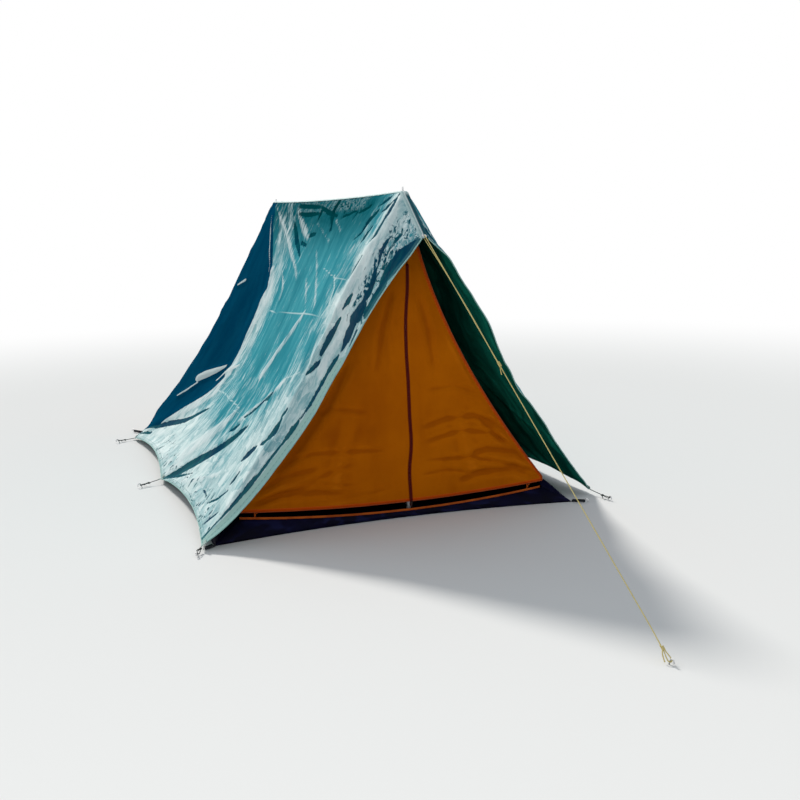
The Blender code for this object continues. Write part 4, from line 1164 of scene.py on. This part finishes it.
def flyHeights(side, u, v, edge, front):
    s, t = u * flyLong, v * flyDeep
    left = side == "left"
    seed = 1 if left else 57
    lines = flyCreases[side]
    drawn = 0.006 * creaseField(lines["pale"], s, t, 0.05) + 0.002 * creaseField(lines["thread"], s, t)
    drawn = drawn - 0.012 * creaseField(lines["dark"], s, t, 0.04) ** 2
    drawn = drawn + 0.012 * creaseField(lines["flap"], s, t, 0.04)
    busy = np.maximum.reduce([falling(v, 0.02, 0.20), falling(u, 0.05, 0.14), rising(u, 0.66, 0.10)])
    fine = 0.0020 * crumple(s * 11, t * 3.2, seed, 3) + 0.0012 * crumple(s * 24, t * 9, seed + 9, 2)
    broad = 0.0050 * latticeNoise(s * 4.2, t * 2.0, seed + 20)
    ridge = 0.0040 * crumple(s * 6.5, t * 14, seed + 30, 3) * falling(v, 0, 0.16)
    hood = 0.0050 * crumple(s * 17, t * 12, seed + 40, 2) * falling(u, 0.05, 0.06) * falling(v, 0.30, 0.25)
    tail = 0.0060 * crumple(s * 12, t * 9, seed + 50, 2) * rising(u, 0.84, 0.08)
    smooth = 0.15 + 0.85 * rising(front, 0.01, 0.09)
    height = (drawn + broad + fine * (0.30 + 0.70 * busy) + ridge + hood + tail) * ease(v / 0.02) * smooth
    nearPegs = np.ones(u.shape)
    for place in (0.0, 0.5, 1.0):
        nearPegs = np.minimum(nearPegs, ease(np.hypot((hemShare(u) - place) * 2, (v - 1) * 1.3) / 0.06))
    height *= nearPegs
    if left:
        # The left front edge falls in towards the door
        shares, falls = byThousandths(fly["frontFall"])
        turned = -np.interp(v, shares, falls) * falling(front, 0, fly["fallReach"]) * nearPegs
        height = np.maximum(height, mix(-0.030, -0.0035, rising(v, 0.55, 0.12) * rising(u, 0.45, 0.10)))
    else:
        # The hemmed edge turns outwards, and the hood's cloth is drawn in
        turned = np.where(u < 0.5, 0.3, 1.0) * fly["hemTurn"]
        turned = turned * falling(np.minimum(front, edge), 0, fly["hemBand"])
        turned *= ease(v / 0.10) * nearPegs
        slack = np.exp(-(((u - 0.095) / 0.055) ** 2)) * np.sin(np.pi * np.clip(v / 0.50, 0, 1))
        turned -= fly["hoodSlack"] * slack * ease(u / 0.04)
    flutter = 0.012 * latticeNoise(t * 9, s * 0.5, seed + 60) * falling(edge, 0, 0.16) * ease(v / 0.08) * nearPegs
    flutter *= np.where(u < 0.5, 0.12 if left else 0.6, 1.0)
    return height + turned + flutter


# The painted sheen at each point, spread from the table's values
def sheenAmount(side, s, t):
    total, weights = np.zeros(s.shape), np.full(s.shape, 1e-9)
    for u, v, value in zip(*byThousandths(flySheen[side])):
        weight = 1 / (0.0008 + (s - u * flyLong) ** 2 + (t - v * flyDeep) ** 2) ** 1.6
        total, weights = total + weight * value, weights + weight
    return total / weights


def flyMarks(side, u, v, front):
    # What the finish of the fly's outer face needs to know of each point
    s, t = u * flyLong, v * flyDeep
    found = {"sheen": sheenAmount(side, s, t)}
    found.update({key: creaseField(lines, s, t) for key, lines in flyCreases[side].items()})
    found["shade"] = np.zeros(u.shape)
    found["strip"] = np.zeros(u.shape)
    found["high"] = falling(v, 0.03, 0.20) * rising(u, 0.10, 0.10)
    hood = falling(u, 0.050, 0.025) * falling(v, 0.24, 0.12)
    ridge = 0.55 * rising(u, 0.16, 0.08) * falling(u, 0.66, 0.08) * falling(v, 0.035, 0.045)
    low = 0.40 * rising(v, 0.88, 0.08) * falling(u, 0.70, 0.15)
    found["crumpled"] = np.maximum.reduce([hood, ridge, low])
    if side == "left":
        shares, places = byThousandths(flyDusk)
        found["shade"] = np.clip(0.5 + (u - np.interp(v, shares, places)) * flyLong / 0.05, 0, 1)
        # Along the left front edge the hem's strip is painted as sheen and the crease beside it in painted shade
        low = rising(v, 0.36, 0.06)
        found["strip"] = low * np.clip(0.5 + (0.036 - front) / 0.03, 0, 1)
        line = 0.5 + (0.008 + 0.004 * latticeNoise(v * 22, u * 0, 12) - np.abs(front - 0.046)) / 0.024
        found["dark"] = np.maximum(found["dark"], low * np.clip(line, 0, 1))
    return found


def makeFly(side):
    sign, name = tent["sides"][side], side.capitalize()
    marks = {}

    def place(u, v):
        base = flyBase(side, u, v)
        normal = normalsOf(base)
        normal *= sign * np.sign(normal[10, 60, 0])
        borders = (base[:1], base[-1:], base[:, -1:])
        front, rear, hem = (np.linalg.norm(base - border, axis=2) for border in borders)
        ends = np.minimum(front, rear)
        height = flyHeights(side, u, v, ends, front)
        marks.update(edge=np.minimum(ends, hem), fold=height, **flyMarks(side, u, v, front))
        point = base + normal * height[..., None]
        wave = 0.009 * latticeNoise(v * 15, u * 0, 71) + 0.005 * latticeNoise(v * 37, u * 0, 72)
        held = ease(v / 0.10) * ease((1 - v) / 0.06)
        wave = np.where(u < 0.5, 0.25, 1.0) * np.minimum(wave, 0.006)
        point[..., 1] += np.sign(u - 0.5) * wave * falling(ends, 0, 0.10) * held
        return point

    faces = finishes["flyOutside"], finishes["flyInside"]
    piece, points = clothGrid("flyCloth" + name, fly["cells"], place, (sign, 0, 0.4), faces, marks)
    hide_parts("fly_panel_" + side)
    hems = []
    for key, route in {"Front": points[0], "Rear": points[-1], "Hem": points[:, -1]}.items():
        hems.append(tubeAlong(f"flyPiping{key}{name}", route, fly["piping"], finishes["flyPiping"], 6))
    dress("fly_cloth", "tent", piece, *hems)
    laySheet(piece, points, fly["flat"], "stretched", "fly_ridge_tape", with_pieces=hems)
    return points


def hemTab(side, number, points):
    # A folded tab of tape sewn on the hem, which the peg cord is knotted through
    station, last = fly["stations"][number], fly["cells"][0]
    index, step = number * last // 2, 1 - number
    hem = Vector(points[index, -1])
    above = Vector(points[index + 3 * step, -6])
    along = (Vector(points[min(index + 3, last), -1]) - Vector(points[max(index - 3, 0), -1])).normalized()
    spot = Vector((*fly["pegSpots"][side][number], 0))
    shank, neck = pegLine(spot[:2], Vector((spot.x - hem.x, spot.y - hem.y, 0)).normalized())
    way = (neck - hem).normalized()
    inward = (above - hem).normalized()
    normal = along.cross(inward).normalized()
    if normal.x * tent["sides"][side] < 0:
        normal = -normal

    def place(u, v):
        width = mix(*tab["width"], np.clip(v * 1.3, 0, 1))
        run = mix(*tab["reach"], v)
        lowered = np.maximum(run, 0)[..., None] * np.array(way) - np.minimum(run, 0)[..., None] * np.array(inward)
        across = ((u - 0.5) * width)[..., None] * np.array(along)
        lift = (tab["lift"][0] * (1 - ease(v * 1.6)) + tab["lift"][1])[..., None] * np.array(normal)
        return np.array(hem) + lowered + across + lift

    end, look = f"{station}_{side}", finishes[fly["tabs"][side][number]]
    made = clothGrid(f"flyTab_{end}", tab["cells"], place, tuple(normal), [look], None, tab["thickness"])[0]
    dress("black_webbing", "tent", made)
    start = hem + way * tab["cordFrom"]
    rest, hub, sideways = pegLoop(start, way, neck, shank, tab["cordSteps"])
    route = [start, *rest]
    cord = tubeAlong(f"flyCord_{end}", route, guy["radius"], finishes["darkCord"])
    at = hub - way * guy["knotBack"]
    knot = woundKnot(f"flyKnot_{end}", at, way, sideways, finishes["darkCord"], **fly["knot"])
    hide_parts(f"fly_cord_{end}")
    dress("dark_cord", "tent", cord, knot)


def ridgeStrip(name, reach, low, ridge, finish, bead=0.0, outer=0.0155, fall=0.9):
    # Tape over a ridge, whose edges lap on the cloth below it
    def place(u, v):
        y, x = mix(-reach, reach, u), mix(-outer, outer, v)
        z = ridge(y) + low - fall * np.maximum(0, np.abs(x) - tent["tapeEdge"])
        z = z + bead * np.exp(-((x / 0.0026) ** 2)) + 0.0004 * latticeNoise(y * 60, x * 90, 5)
        return np.stack([x + 0.0006 * latticeNoise(y * 14, x * 0, 6), y, z], axis=-1)

    return clothGrid(name, (320, 16), place, (0, 0, 1), [finish])[0]


flyPoints = {side: makeFly(side) for side in tent["sides"]}
for side, points in flyPoints.items():
    for number in range(len(fly["stations"])):
        hemTab(side, number, points)
hoodEnd = tent["polesY"] + tent["hoodReach"]
flyRidge = ridgeStrip("flyRidge", hoodEnd, 0.0010, flyRidgeZ, finishes["ridge"], bead=0.0022)
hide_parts("fly_ridge_tape")
dress("webbing", "tent", flyRidge)
print("flysheet made")

inner = {
    "frontCells": (84, 150),
    "wallCells": (150, 84),
    "rearCells": (120, 84),
    "frontHigh": 1.10,
    "wallFlat": (1.30, 1.96),
    "rearFlat": (1.20, 1.08),
    "seam": 0.0026,
    "trim": 0.0020,
    "topGap": 0.0003,
    # How far the zip's line wanders, at these heights, both in thousandths
    "zipLine": [
        (50, 0), (75, 0), (170, -6), (276, 6), (365, 0), (528, -4), (604, -9), (722, -10), (785, -6), (845, 0),
        (1200, 0),
    ],
}

# Folds of the front cloths, in thousandths: depth, half width, then for each point its distance
# from the zip and its height
frontFolds = {
    "left": [
        (6, 14, 620, 105, 500, 135, 360, 130, 220, 105),
        (5, 12, 600, 140, 470, 200, 340, 215),
        (6, 16, 550, 160, 420, 300, 300, 460, 200, 640),
        (4, 14, 50, 860, 100, 700, 130, 520),
        (-4, 20, 300, 100, 270, 240, 220, 400),
        (4, 8, 500, 248, 373, 271, 229, 266, 60, 255),
        (4, 9, 615, 95, 427, 155, 265, 209, 193, 220),
        (4, 8, 500, 120, 364, 162, 193, 135),
        (3, 7, 390, 90, 193, 98, 50, 118),
        (3, 10, 420, 400, 300, 430, 140, 400),
    ],
    "right": [
        (7, 14, 520, 100, 420, 140, 300, 140, 170, 110),
        (6, 12, 510, 135, 430, 205, 310, 225, 200, 200),
        (5, 14, 490, 180, 400, 290, 280, 340),
        (5, 16, 440, 240, 340, 400, 240, 560, 160, 720),
        (-4, 20, 260, 100, 220, 260, 180, 420),
        (4, 12, 40, 840, 80, 690, 100, 520),
        (5, 9, 35, 326, 146, 356, 257, 360, 379, 314),
        (5, 8, 45, 272, 207, 307, 328, 287, 440, 208),
        (5, 8, 45, 206, 247, 200, 440, 148, 570, 100),
        (4, 8, 20, 150, 146, 161, 348, 126),
        (4, 10, 277, 350, 330, 300, 379, 245),
        (3, 10, 60, 470, 180, 480, 310, 430),
    ],
}


def innerHalf(side, share, y):
    front, rear = tent["hollow"][side]
    hollow = mix(front, rear, (y / tent["endY"] + 1) / 2)
    return tent["tapeEdge"] + (tent["foot"][side] - tent["tapeEdge"]) * np.clip(share, 0, 1) ** hollow


def innerShare(z):
    return (tent["innerTapeZ"] - z) / (tent["innerTapeZ"] - tent["tubTop"])


def frontRise(key, x):
    # The height of the door's hem or of the sill, which rise towards the corners
    low, rise = tent[key]
    return low + rise * (x / tent["tubTopHalf"]) ** 2


def zipX(z):
    return np.interp(z, *byThousandths(inner["zipLine"]))


def smoothZipX(z):
    return sum(zipX(z + k * 0.012) for k in range(-3, 4)) / 7


def innerTube(name, route, key):
    return tubeAlong(name, route, inner[key], finishes["innerPiping"], 6)


def makeFront(side):
    # One cloth from the zip out to the corner seam
    sign, name = tent["sides"][side], side.capitalize()
    marks, seed = {}, 0 if side == "left" else 80

    def place(u, v):
        foot = mix(tent["doorEdge"], tent["foot"][side], u)
        z = mix(tent["frontTop"], frontRise("hem", foot), v)
        inside = mix(tent["doorEdge"], inner["topGap"], rising(z, tent["doorTop"], 0.010))
        seam = innerHalf(side, innerShare(z), -tent["endY"])
        x = mix(inside, seam, u)
        height = foldHeights(frontFolds[side], x, z)
        height += 0.0040 * latticeNoise(x * 5, z * 3.2, seed + 3)
        height += 0.0014 * crumple(x * 13, z * 9, seed + 7, 3)
        width = np.maximum(seam - inside, 1e-4)
        free = ease(u * width / 0.05) * ease((1 - u) * width / 0.03)
        marks["edge"] = np.maximum(0, np.minimum((1 - u) * width, z - frontRise("hem", x)))
        marks["fold"] = height * free
        shift = smoothZipX(z) * falling(x, 0.006, 0.10)
        return np.stack([sign * x + shift, -tent["endY"] - marks["fold"], z], axis=-1)

    look = [finishes["inner"]]
    piece, points = clothGrid("frontCloth" + name, inner["frontCells"], place, (0, -1, 0), look, marks)
    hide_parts("front_panel_" + side, "door_" + side)
    hem = innerTube("frontHem" + name, points[:, -1], "trim")
    (middleX, middleZ), (towardX, towardZ) = tent["foldMiddle"], tent["foldInward"]
    middle = Vector((sign * middleX, -tent["endY"], middleZ))
    toward = Vector((sign * towardX, 0, towardZ))
    for made in (piece, hem):
        "door_" + side
        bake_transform(made)
    seam = innerTube("frontSeam" + name, points[-1], "seam")
    dress("inner_cloth", "tent", seam)
    flat = (tent["foot"][side] + 0.02, inner["frontHigh"])
    laySheet(piece, points, flat, "hung", "inner_ridge_tape", with_pieces=[hem, seam])


def makeInnerWall(side):
    sign = tent["sides"][side]
    marks, end = {}, tent["wallEndY"]

    def place(u, v):
        y = mix(-end, end, u)
        slack = 0.020 * (1 - (y / end) ** 2) * 4 * v * (1 - v)
        z = mix(innerRidgeZ(y), tent["wallFoot"], v)
        folds = 0.0030 * crumple(y * 5, v * 2.4, 21 + sign, 3) + 0.0020 * latticeNoise(y * 9, v * 3, 25 + sign)
        held = (v / 0.1, (1 - v) / 0.05, u / 0.03, (1 - u) / 0.03)
        marks["fold"] = math.prod((ease(share) for share in held), start=folds - 0.0022)
        marks["edge"] = np.minimum(np.minimum(y + end, end - y), (1 - v) * 1.1)
        return np.stack([sign * (innerHalf(side, v, y) - slack + marks["fold"]), y, z], axis=-1)

    name, look = "innerWall" + side.capitalize(), [finishes["inner"]]
    piece, points = clothGrid(name, inner["wallCells"], place, (sign, 0, 0.3), look, marks)
    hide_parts("inner_wall_" + side)
    dress("inner_cloth", "tent", piece)
    laySheet(piece, points, inner["wallFlat"], "hung", "inner_ridge_tape")


def makeRearWall():
    marks = {}

    def place(u, v):
        z = mix(tent["frontTop"], tent["wallFoot"], v)
        share = innerShare(z)
        left, right = -innerHalf("left", share, tent["endY"]), innerHalf("right", share, tent["endY"])
        x = mix(left, right, u)
        folds = 0.0050 * latticeNoise(x * 5, z * 3, 31) + 0.0016 * crumple(x * 12, z * 8, 33, 3)
        marks["edge"] = np.minimum(np.minimum(x - left, right - x), z - tent["wallFoot"])
        marks["fold"] = folds * ease(marks["edge"] / 0.04)
        return np.stack([x, tent["endY"] + marks["fold"], z], axis=-1)

    look = [finishes["inner"]]
    piece, points = clothGrid("innerWallRear", inner["rearCells"], place, (0, 1, 0), look, marks)
    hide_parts("inner_wall_rear")
    seams = [innerTube("rearSeam" + key, points[k], "seam") for key, k in (("Left", 0), ("Right", -1))]
    dress("inner_cloth", "tent", piece, *seams)
    laySheet(piece, points, inner["rearFlat"], "hung", "inner_ridge_tape", with_pieces=seams)


zipper = {
    "foot": {"left": 0.0423, "right": 0.0583},
    "tape": (0.0010, 0.0062),
    "tapeCells": (6, 240),
    "tapeThickness": 0.0007,
    "pitch": 0.0026,
    "first": {"left": 0.25, "right": 0.75},
    "tooth": (0.0026, 0.0013, 0.0015),
    "tip": (1, 0.7, 0.75),
    "out": 0.0011,
    "back": 0.0003,
    # Where the slider's web stands at the two ends of its travel
    "webs": (0.0517, 0.9027),
    "webReach": 0.0075,
    "parted": 0.0009,
}


def makeZipHalf(side):
    # A tape with its row of teeth, which stand in the other row's gaps
    sign, name = tent["sides"][side], side.capitalize()
    tail, pitch, top = zipper["foot"][side], zipper["pitch"], tent["doorTop"]

    def place(u, v):
        z = mix(tail, top, v)
        x = mix(*zipper["tape"], u)
        y = -tent["endY"] - 0.0004 - 0.0006 * rising(u, 0.78, 0.22)
        return np.stack([sign * x + smoothZipX(z), y + 0 * z, z], axis=-1)

    look, thickness = [finishes["zipTape"]], zipper["tapeThickness"]
    tape = clothGrid("zipTape" + name, zipper["tapeCells"], place, (0, -1, 0), look, None, thickness)[0]
    bm = bmesh.new()
    for k in range(int((top - tail) / pitch)):
        z = tail + (k + zipper["first"][side]) * pitch
        if z > top - 0.001:
            continue
        # The rows part round the slider's web, at the foot and at the top of its travel
        nearWeb = min(abs(z - web) for web in zipper["webs"]) < zipper["webReach"]
        shift = float(smoothZipX(z)) + sign * (zipper["parted"] if nearWeb else 0.0)
        made = bmesh.ops.create_cube(bm, size=1)["verts"]
        narrow = [vertex for vertex in made if vertex.co.x * sign < 0]
        for some, factors in ((made, zipper["tooth"]), (narrow, zipper["tip"])):
            for vertex in some:
                for axis, factor in enumerate(factors):
                    vertex.co[axis] *= factor
        spot = (sign * zipper["out"] + shift, -tent["endY"] - zipper["back"], z)
        bmesh.ops.translate(bm, verts=made, vec=spot)
    mesh = bpy.data.meshes.new("zipTeeth" + name)
    bm.to_mesh(mesh)
    bm.free()
    teeth = finishWith(link(mesh.name, mesh), finishes["zipCoil"])
    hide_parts("zip_half_" + side)
    dress("zip", "door_" + side, tape, teeth)


for side in tent["sides"]:
    makeFront(side)
    makeInnerWall(side)
    makeZipHalf(side)
makeRearWall()
innerRidge = ridgeStrip(
    "innerRidge", tent["endY"], 0.0002, innerRidgeZ, finishes["binding"], outer=tent["tapeEdge"], fall=0.0
)
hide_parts("inner_ridge_tape")
dress("orange_binding", "tent", innerRidge)
print("inner tent made")

tub = {
    "halfWidth": 0.694,
    "halfLength": 1.049,
    "flat": (1.60, 2.32),
    "endDraw": 0.067,
    "sideDraw": 0.015,
    "floorCells": (50, 66),
    "wallCells": 10,
    "floorZ": 0.0006,
    "thickness": 0.001,
    "push": 0.6,
}
sill = {"ends": (-0.645, 0.535), "cells": (160, 6), "lift": 0.0006, "high": 0.008, "thickness": 0.0018}


def floorEdge(x, y):
    draw = tub["endDraw"] * (1 - (x / tub["halfWidth"]) ** 2)
    narrow = tub["sideDraw"] * (1 - (y / tub["halfLength"]) ** 2)
    across = x * (1 - narrow / tub["halfWidth"])
    return across + tent["shift"], y * (1 - draw / tub["halfLength"])


def makeTub():
    marks = {}
    rings = tub["wallCells"]

    def plan(share, cells):
        steps = (share * 2 - 1) * (cells + rings)
        flat = np.clip(steps / cells, -1, 1)
        return flat, np.maximum(0, np.abs(steps) - cells) / rings

    def place(u, v):
        a, overA = plan(u, tub["floorCells"][0])
        b, overB = plan(v, tub["floorCells"][1])
        rise = np.maximum(overA, overB)
        # Beyond the floor the rings keep their place round its edge while they climb the wall
        reachA = np.where((overB > overA) & (overA > 0), np.sign(a), a)
        footX, footY = floorEdge(reachA * tub["halfWidth"], b * tub["halfLength"])
        topX, topY = reachA * tent["tubTopHalf"] + tent["shift"], b * tent["endY"]
        height = mix(tent["tubTop"] + 0 * a, frontRise("sill", topX), falling(b, -1, 0.05))
        x, y = mix(footX, topX, rise), mix(footY, topY, rise)
        z = tub["floorZ"] + (height - tub["floorZ"]) * rise
        onFloor = (rise == 0).astype(float)
        around = np.arctan2(b, reachA) * 3.4
        folds = 0.0050 * crumple(around * 3.0, rise * 1.2 + a * 3, 41, 3)
        folds = folds + 0.0030 * latticeNoise(around * 9, rise * 2, 44)
        bulge = 0.010 * np.sin(np.pi * np.clip(rise, 0, 1)) + folds * ease(rise / 0.25) * ease((1 - rise) / 0.2)
        # The wall bulges out across the nearer edge of the floor
        outX, outY = footX - tent["shift"], footY
        shareX, shareY = np.abs(outX) / tub["halfWidth"], np.abs(outY) / tub["halfLength"]
        length = np.maximum(shareX, shareY)
        x = x + np.where(shareX >= length - 1e-6, np.sign(outX), 0) * bulge * tub["push"]
        y = y + np.where(shareY >= length - 1e-6, np.sign(outY), 0) * bulge * tub["push"]
        ruck = 0.0030 * np.maximum(0, crumple(x * 4, y * 3.2, 47, 3))
        ruck = ruck + 0.0010 * np.maximum(0, crumple(x * 11, y * 11, 49, 2))
        z = z + onFloor * ruck * ease((1 - np.maximum(np.abs(a), np.abs(b))) / 0.03)
        marks["fold"] = folds * (1 - onFloor)
        return np.stack([x, y, z], axis=-1)

    cells = tuple(2 * (count + rings) for count in tub["floorCells"])
    piece, points = clothGrid("tub", cells, place, (0, 0, 1), [finishes["tub"]], marks, tub["thickness"])
    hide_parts("groundsheet", "tub_wall")
    dress("groundsheet_cloth", "tent", piece)
    laySheet(piece, points, tub["flat"], "stretched", "inner_wall_left")


def makeSillBinding():
    def place(u, v):
        x = mix(*sill["ends"], u)
        z = frontRise("sill", x) + sill["lift"] + sill["high"] * v
        bulge = 0.0006 * np.sin(np.pi * v) + 0.0004 * latticeNoise(x * 40, v * 2, 8)
        return np.stack([x, -tent["endY"] - bulge, z], axis=-1)

    look = [finishes["binding"]]
    piece = clothGrid("sillBinding", sill["cells"], place, (0, -1, 0), look, None, sill["thickness"])[0]
    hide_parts("sill_binding")
    dress("orange_binding", "tent", piece)


corners = {
    "tieX": {"left": -0.590, "right": 0.480},
    "tieRadius": 0.0019,
    "tieFlat": 0.45,
    "tieKnot": {"turns": 2, "radius": 0.0030, "length": 0.004, "tail": 0.8},
    "out": 0.045,
    "loopZ": 0.0085,
    "loopTurn": 0.0042,
    # The loop's strap: out from the corner, aside, and height
    "strap": [(0.0012, 0.0065, 0.0052), (0.020, 0.0055, 0.0065)],
    "strapRadius": 0.0045,
    "strapFlat": 0.16,
}


def makeCornerTie(side):
    # Two strands of tape knotted once between the sill and the hem
    x, y, name = corners["tieX"][side], -tent["endY"], side.capitalize()
    low, high = float(frontRise("sill", x)) + 0.0088, float(frontRise("hem", x)) - 0.0008
    bends = [(-0.0010, 0, 0), (0.0012, 0.0014, 0.4), (-0.0008, 0.0010, 0.7), (0.0010, 0, 1)]
    route = curveThrough([(x + aside, y - out, mix(low, high, share)) for aside, out, share in bends], 14)
    binding, across = finishes["binding"], Vector((1, 0, 0))
    tie = tubeAlong("cornerTie" + name, route, corners["tieRadius"], binding, 8, corners["tieFlat"], across)
    middle = Vector((x, y - 0.0022, mix(low, high, 0.5)))
    knot = woundKnot("cornerKnot" + name, middle, Vector((0, 0, 1)), across, binding, **corners["tieKnot"])
    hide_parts("corner_tie_" + side)
    dress("orange_binding", "tent", tie, knot)


def makeFloorLoop(side, end):
    # Webbing from the corner of the floor, round the peg and back
    across, along = tent["sides"][side], -1 if end == "front" else 1
    corner = Vector((across * tub["halfWidth"] + tent["shift"], along * tub["halfLength"], 0))
    outward = Vector((across, along, 0)).normalized()
    sideways = Vector((-outward.y, outward.x, 0))
    spot = corner + outward * corners["out"]
    hub = spot + pegLine(spot[:2], outward)[0] * corners["loopZ"]
    hub.z = corners["loopZ"]

    def strand(sign):
        places = []
        for out, aside, z in corners["strap"]:
            places.append(corner + outward * out + sideways * (sign * aside) + Vector((0, 0, z)))
        return places

    route = strand(1) + arcPoints(hub, sideways, outward, corners["loopTurn"], 0.0, math.pi, 9) + strand(-1)[::-1]
    name, look = f"{end}_{side}", finishes["darkWebbing"]
    strap = tubeAlong("floorLoop_" + name, route, corners["strapRadius"], look, 8, corners["strapFlat"], (0, 0, 1))
    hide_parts("floor_loop_" + name)
    dress("black_webbing", "tent", strap)


makeTub()
makeSillBinding()
for side in tent["sides"]:
    makeCornerTie(side)
for side in tent["sides"]:
    for end in ("front", "rear"):
        makeFloorLoop(side, end)
print("tub, ties and loops made")

steelNames = ("pole", "fly_peg", "floor_peg", "guy_peg", "fly_eyelet", "hood_eyelet", "inner_eyelet")
for name, node in nodes.items():
    if name.startswith(steelNames):
        finishWith(node, finishes["plastic" if name.endswith("foot") else "steel"])
    elif name in ("zip_slider", "zip_pull"):
        finishWith(node, finishes["slider"])
print("metal parts finished")
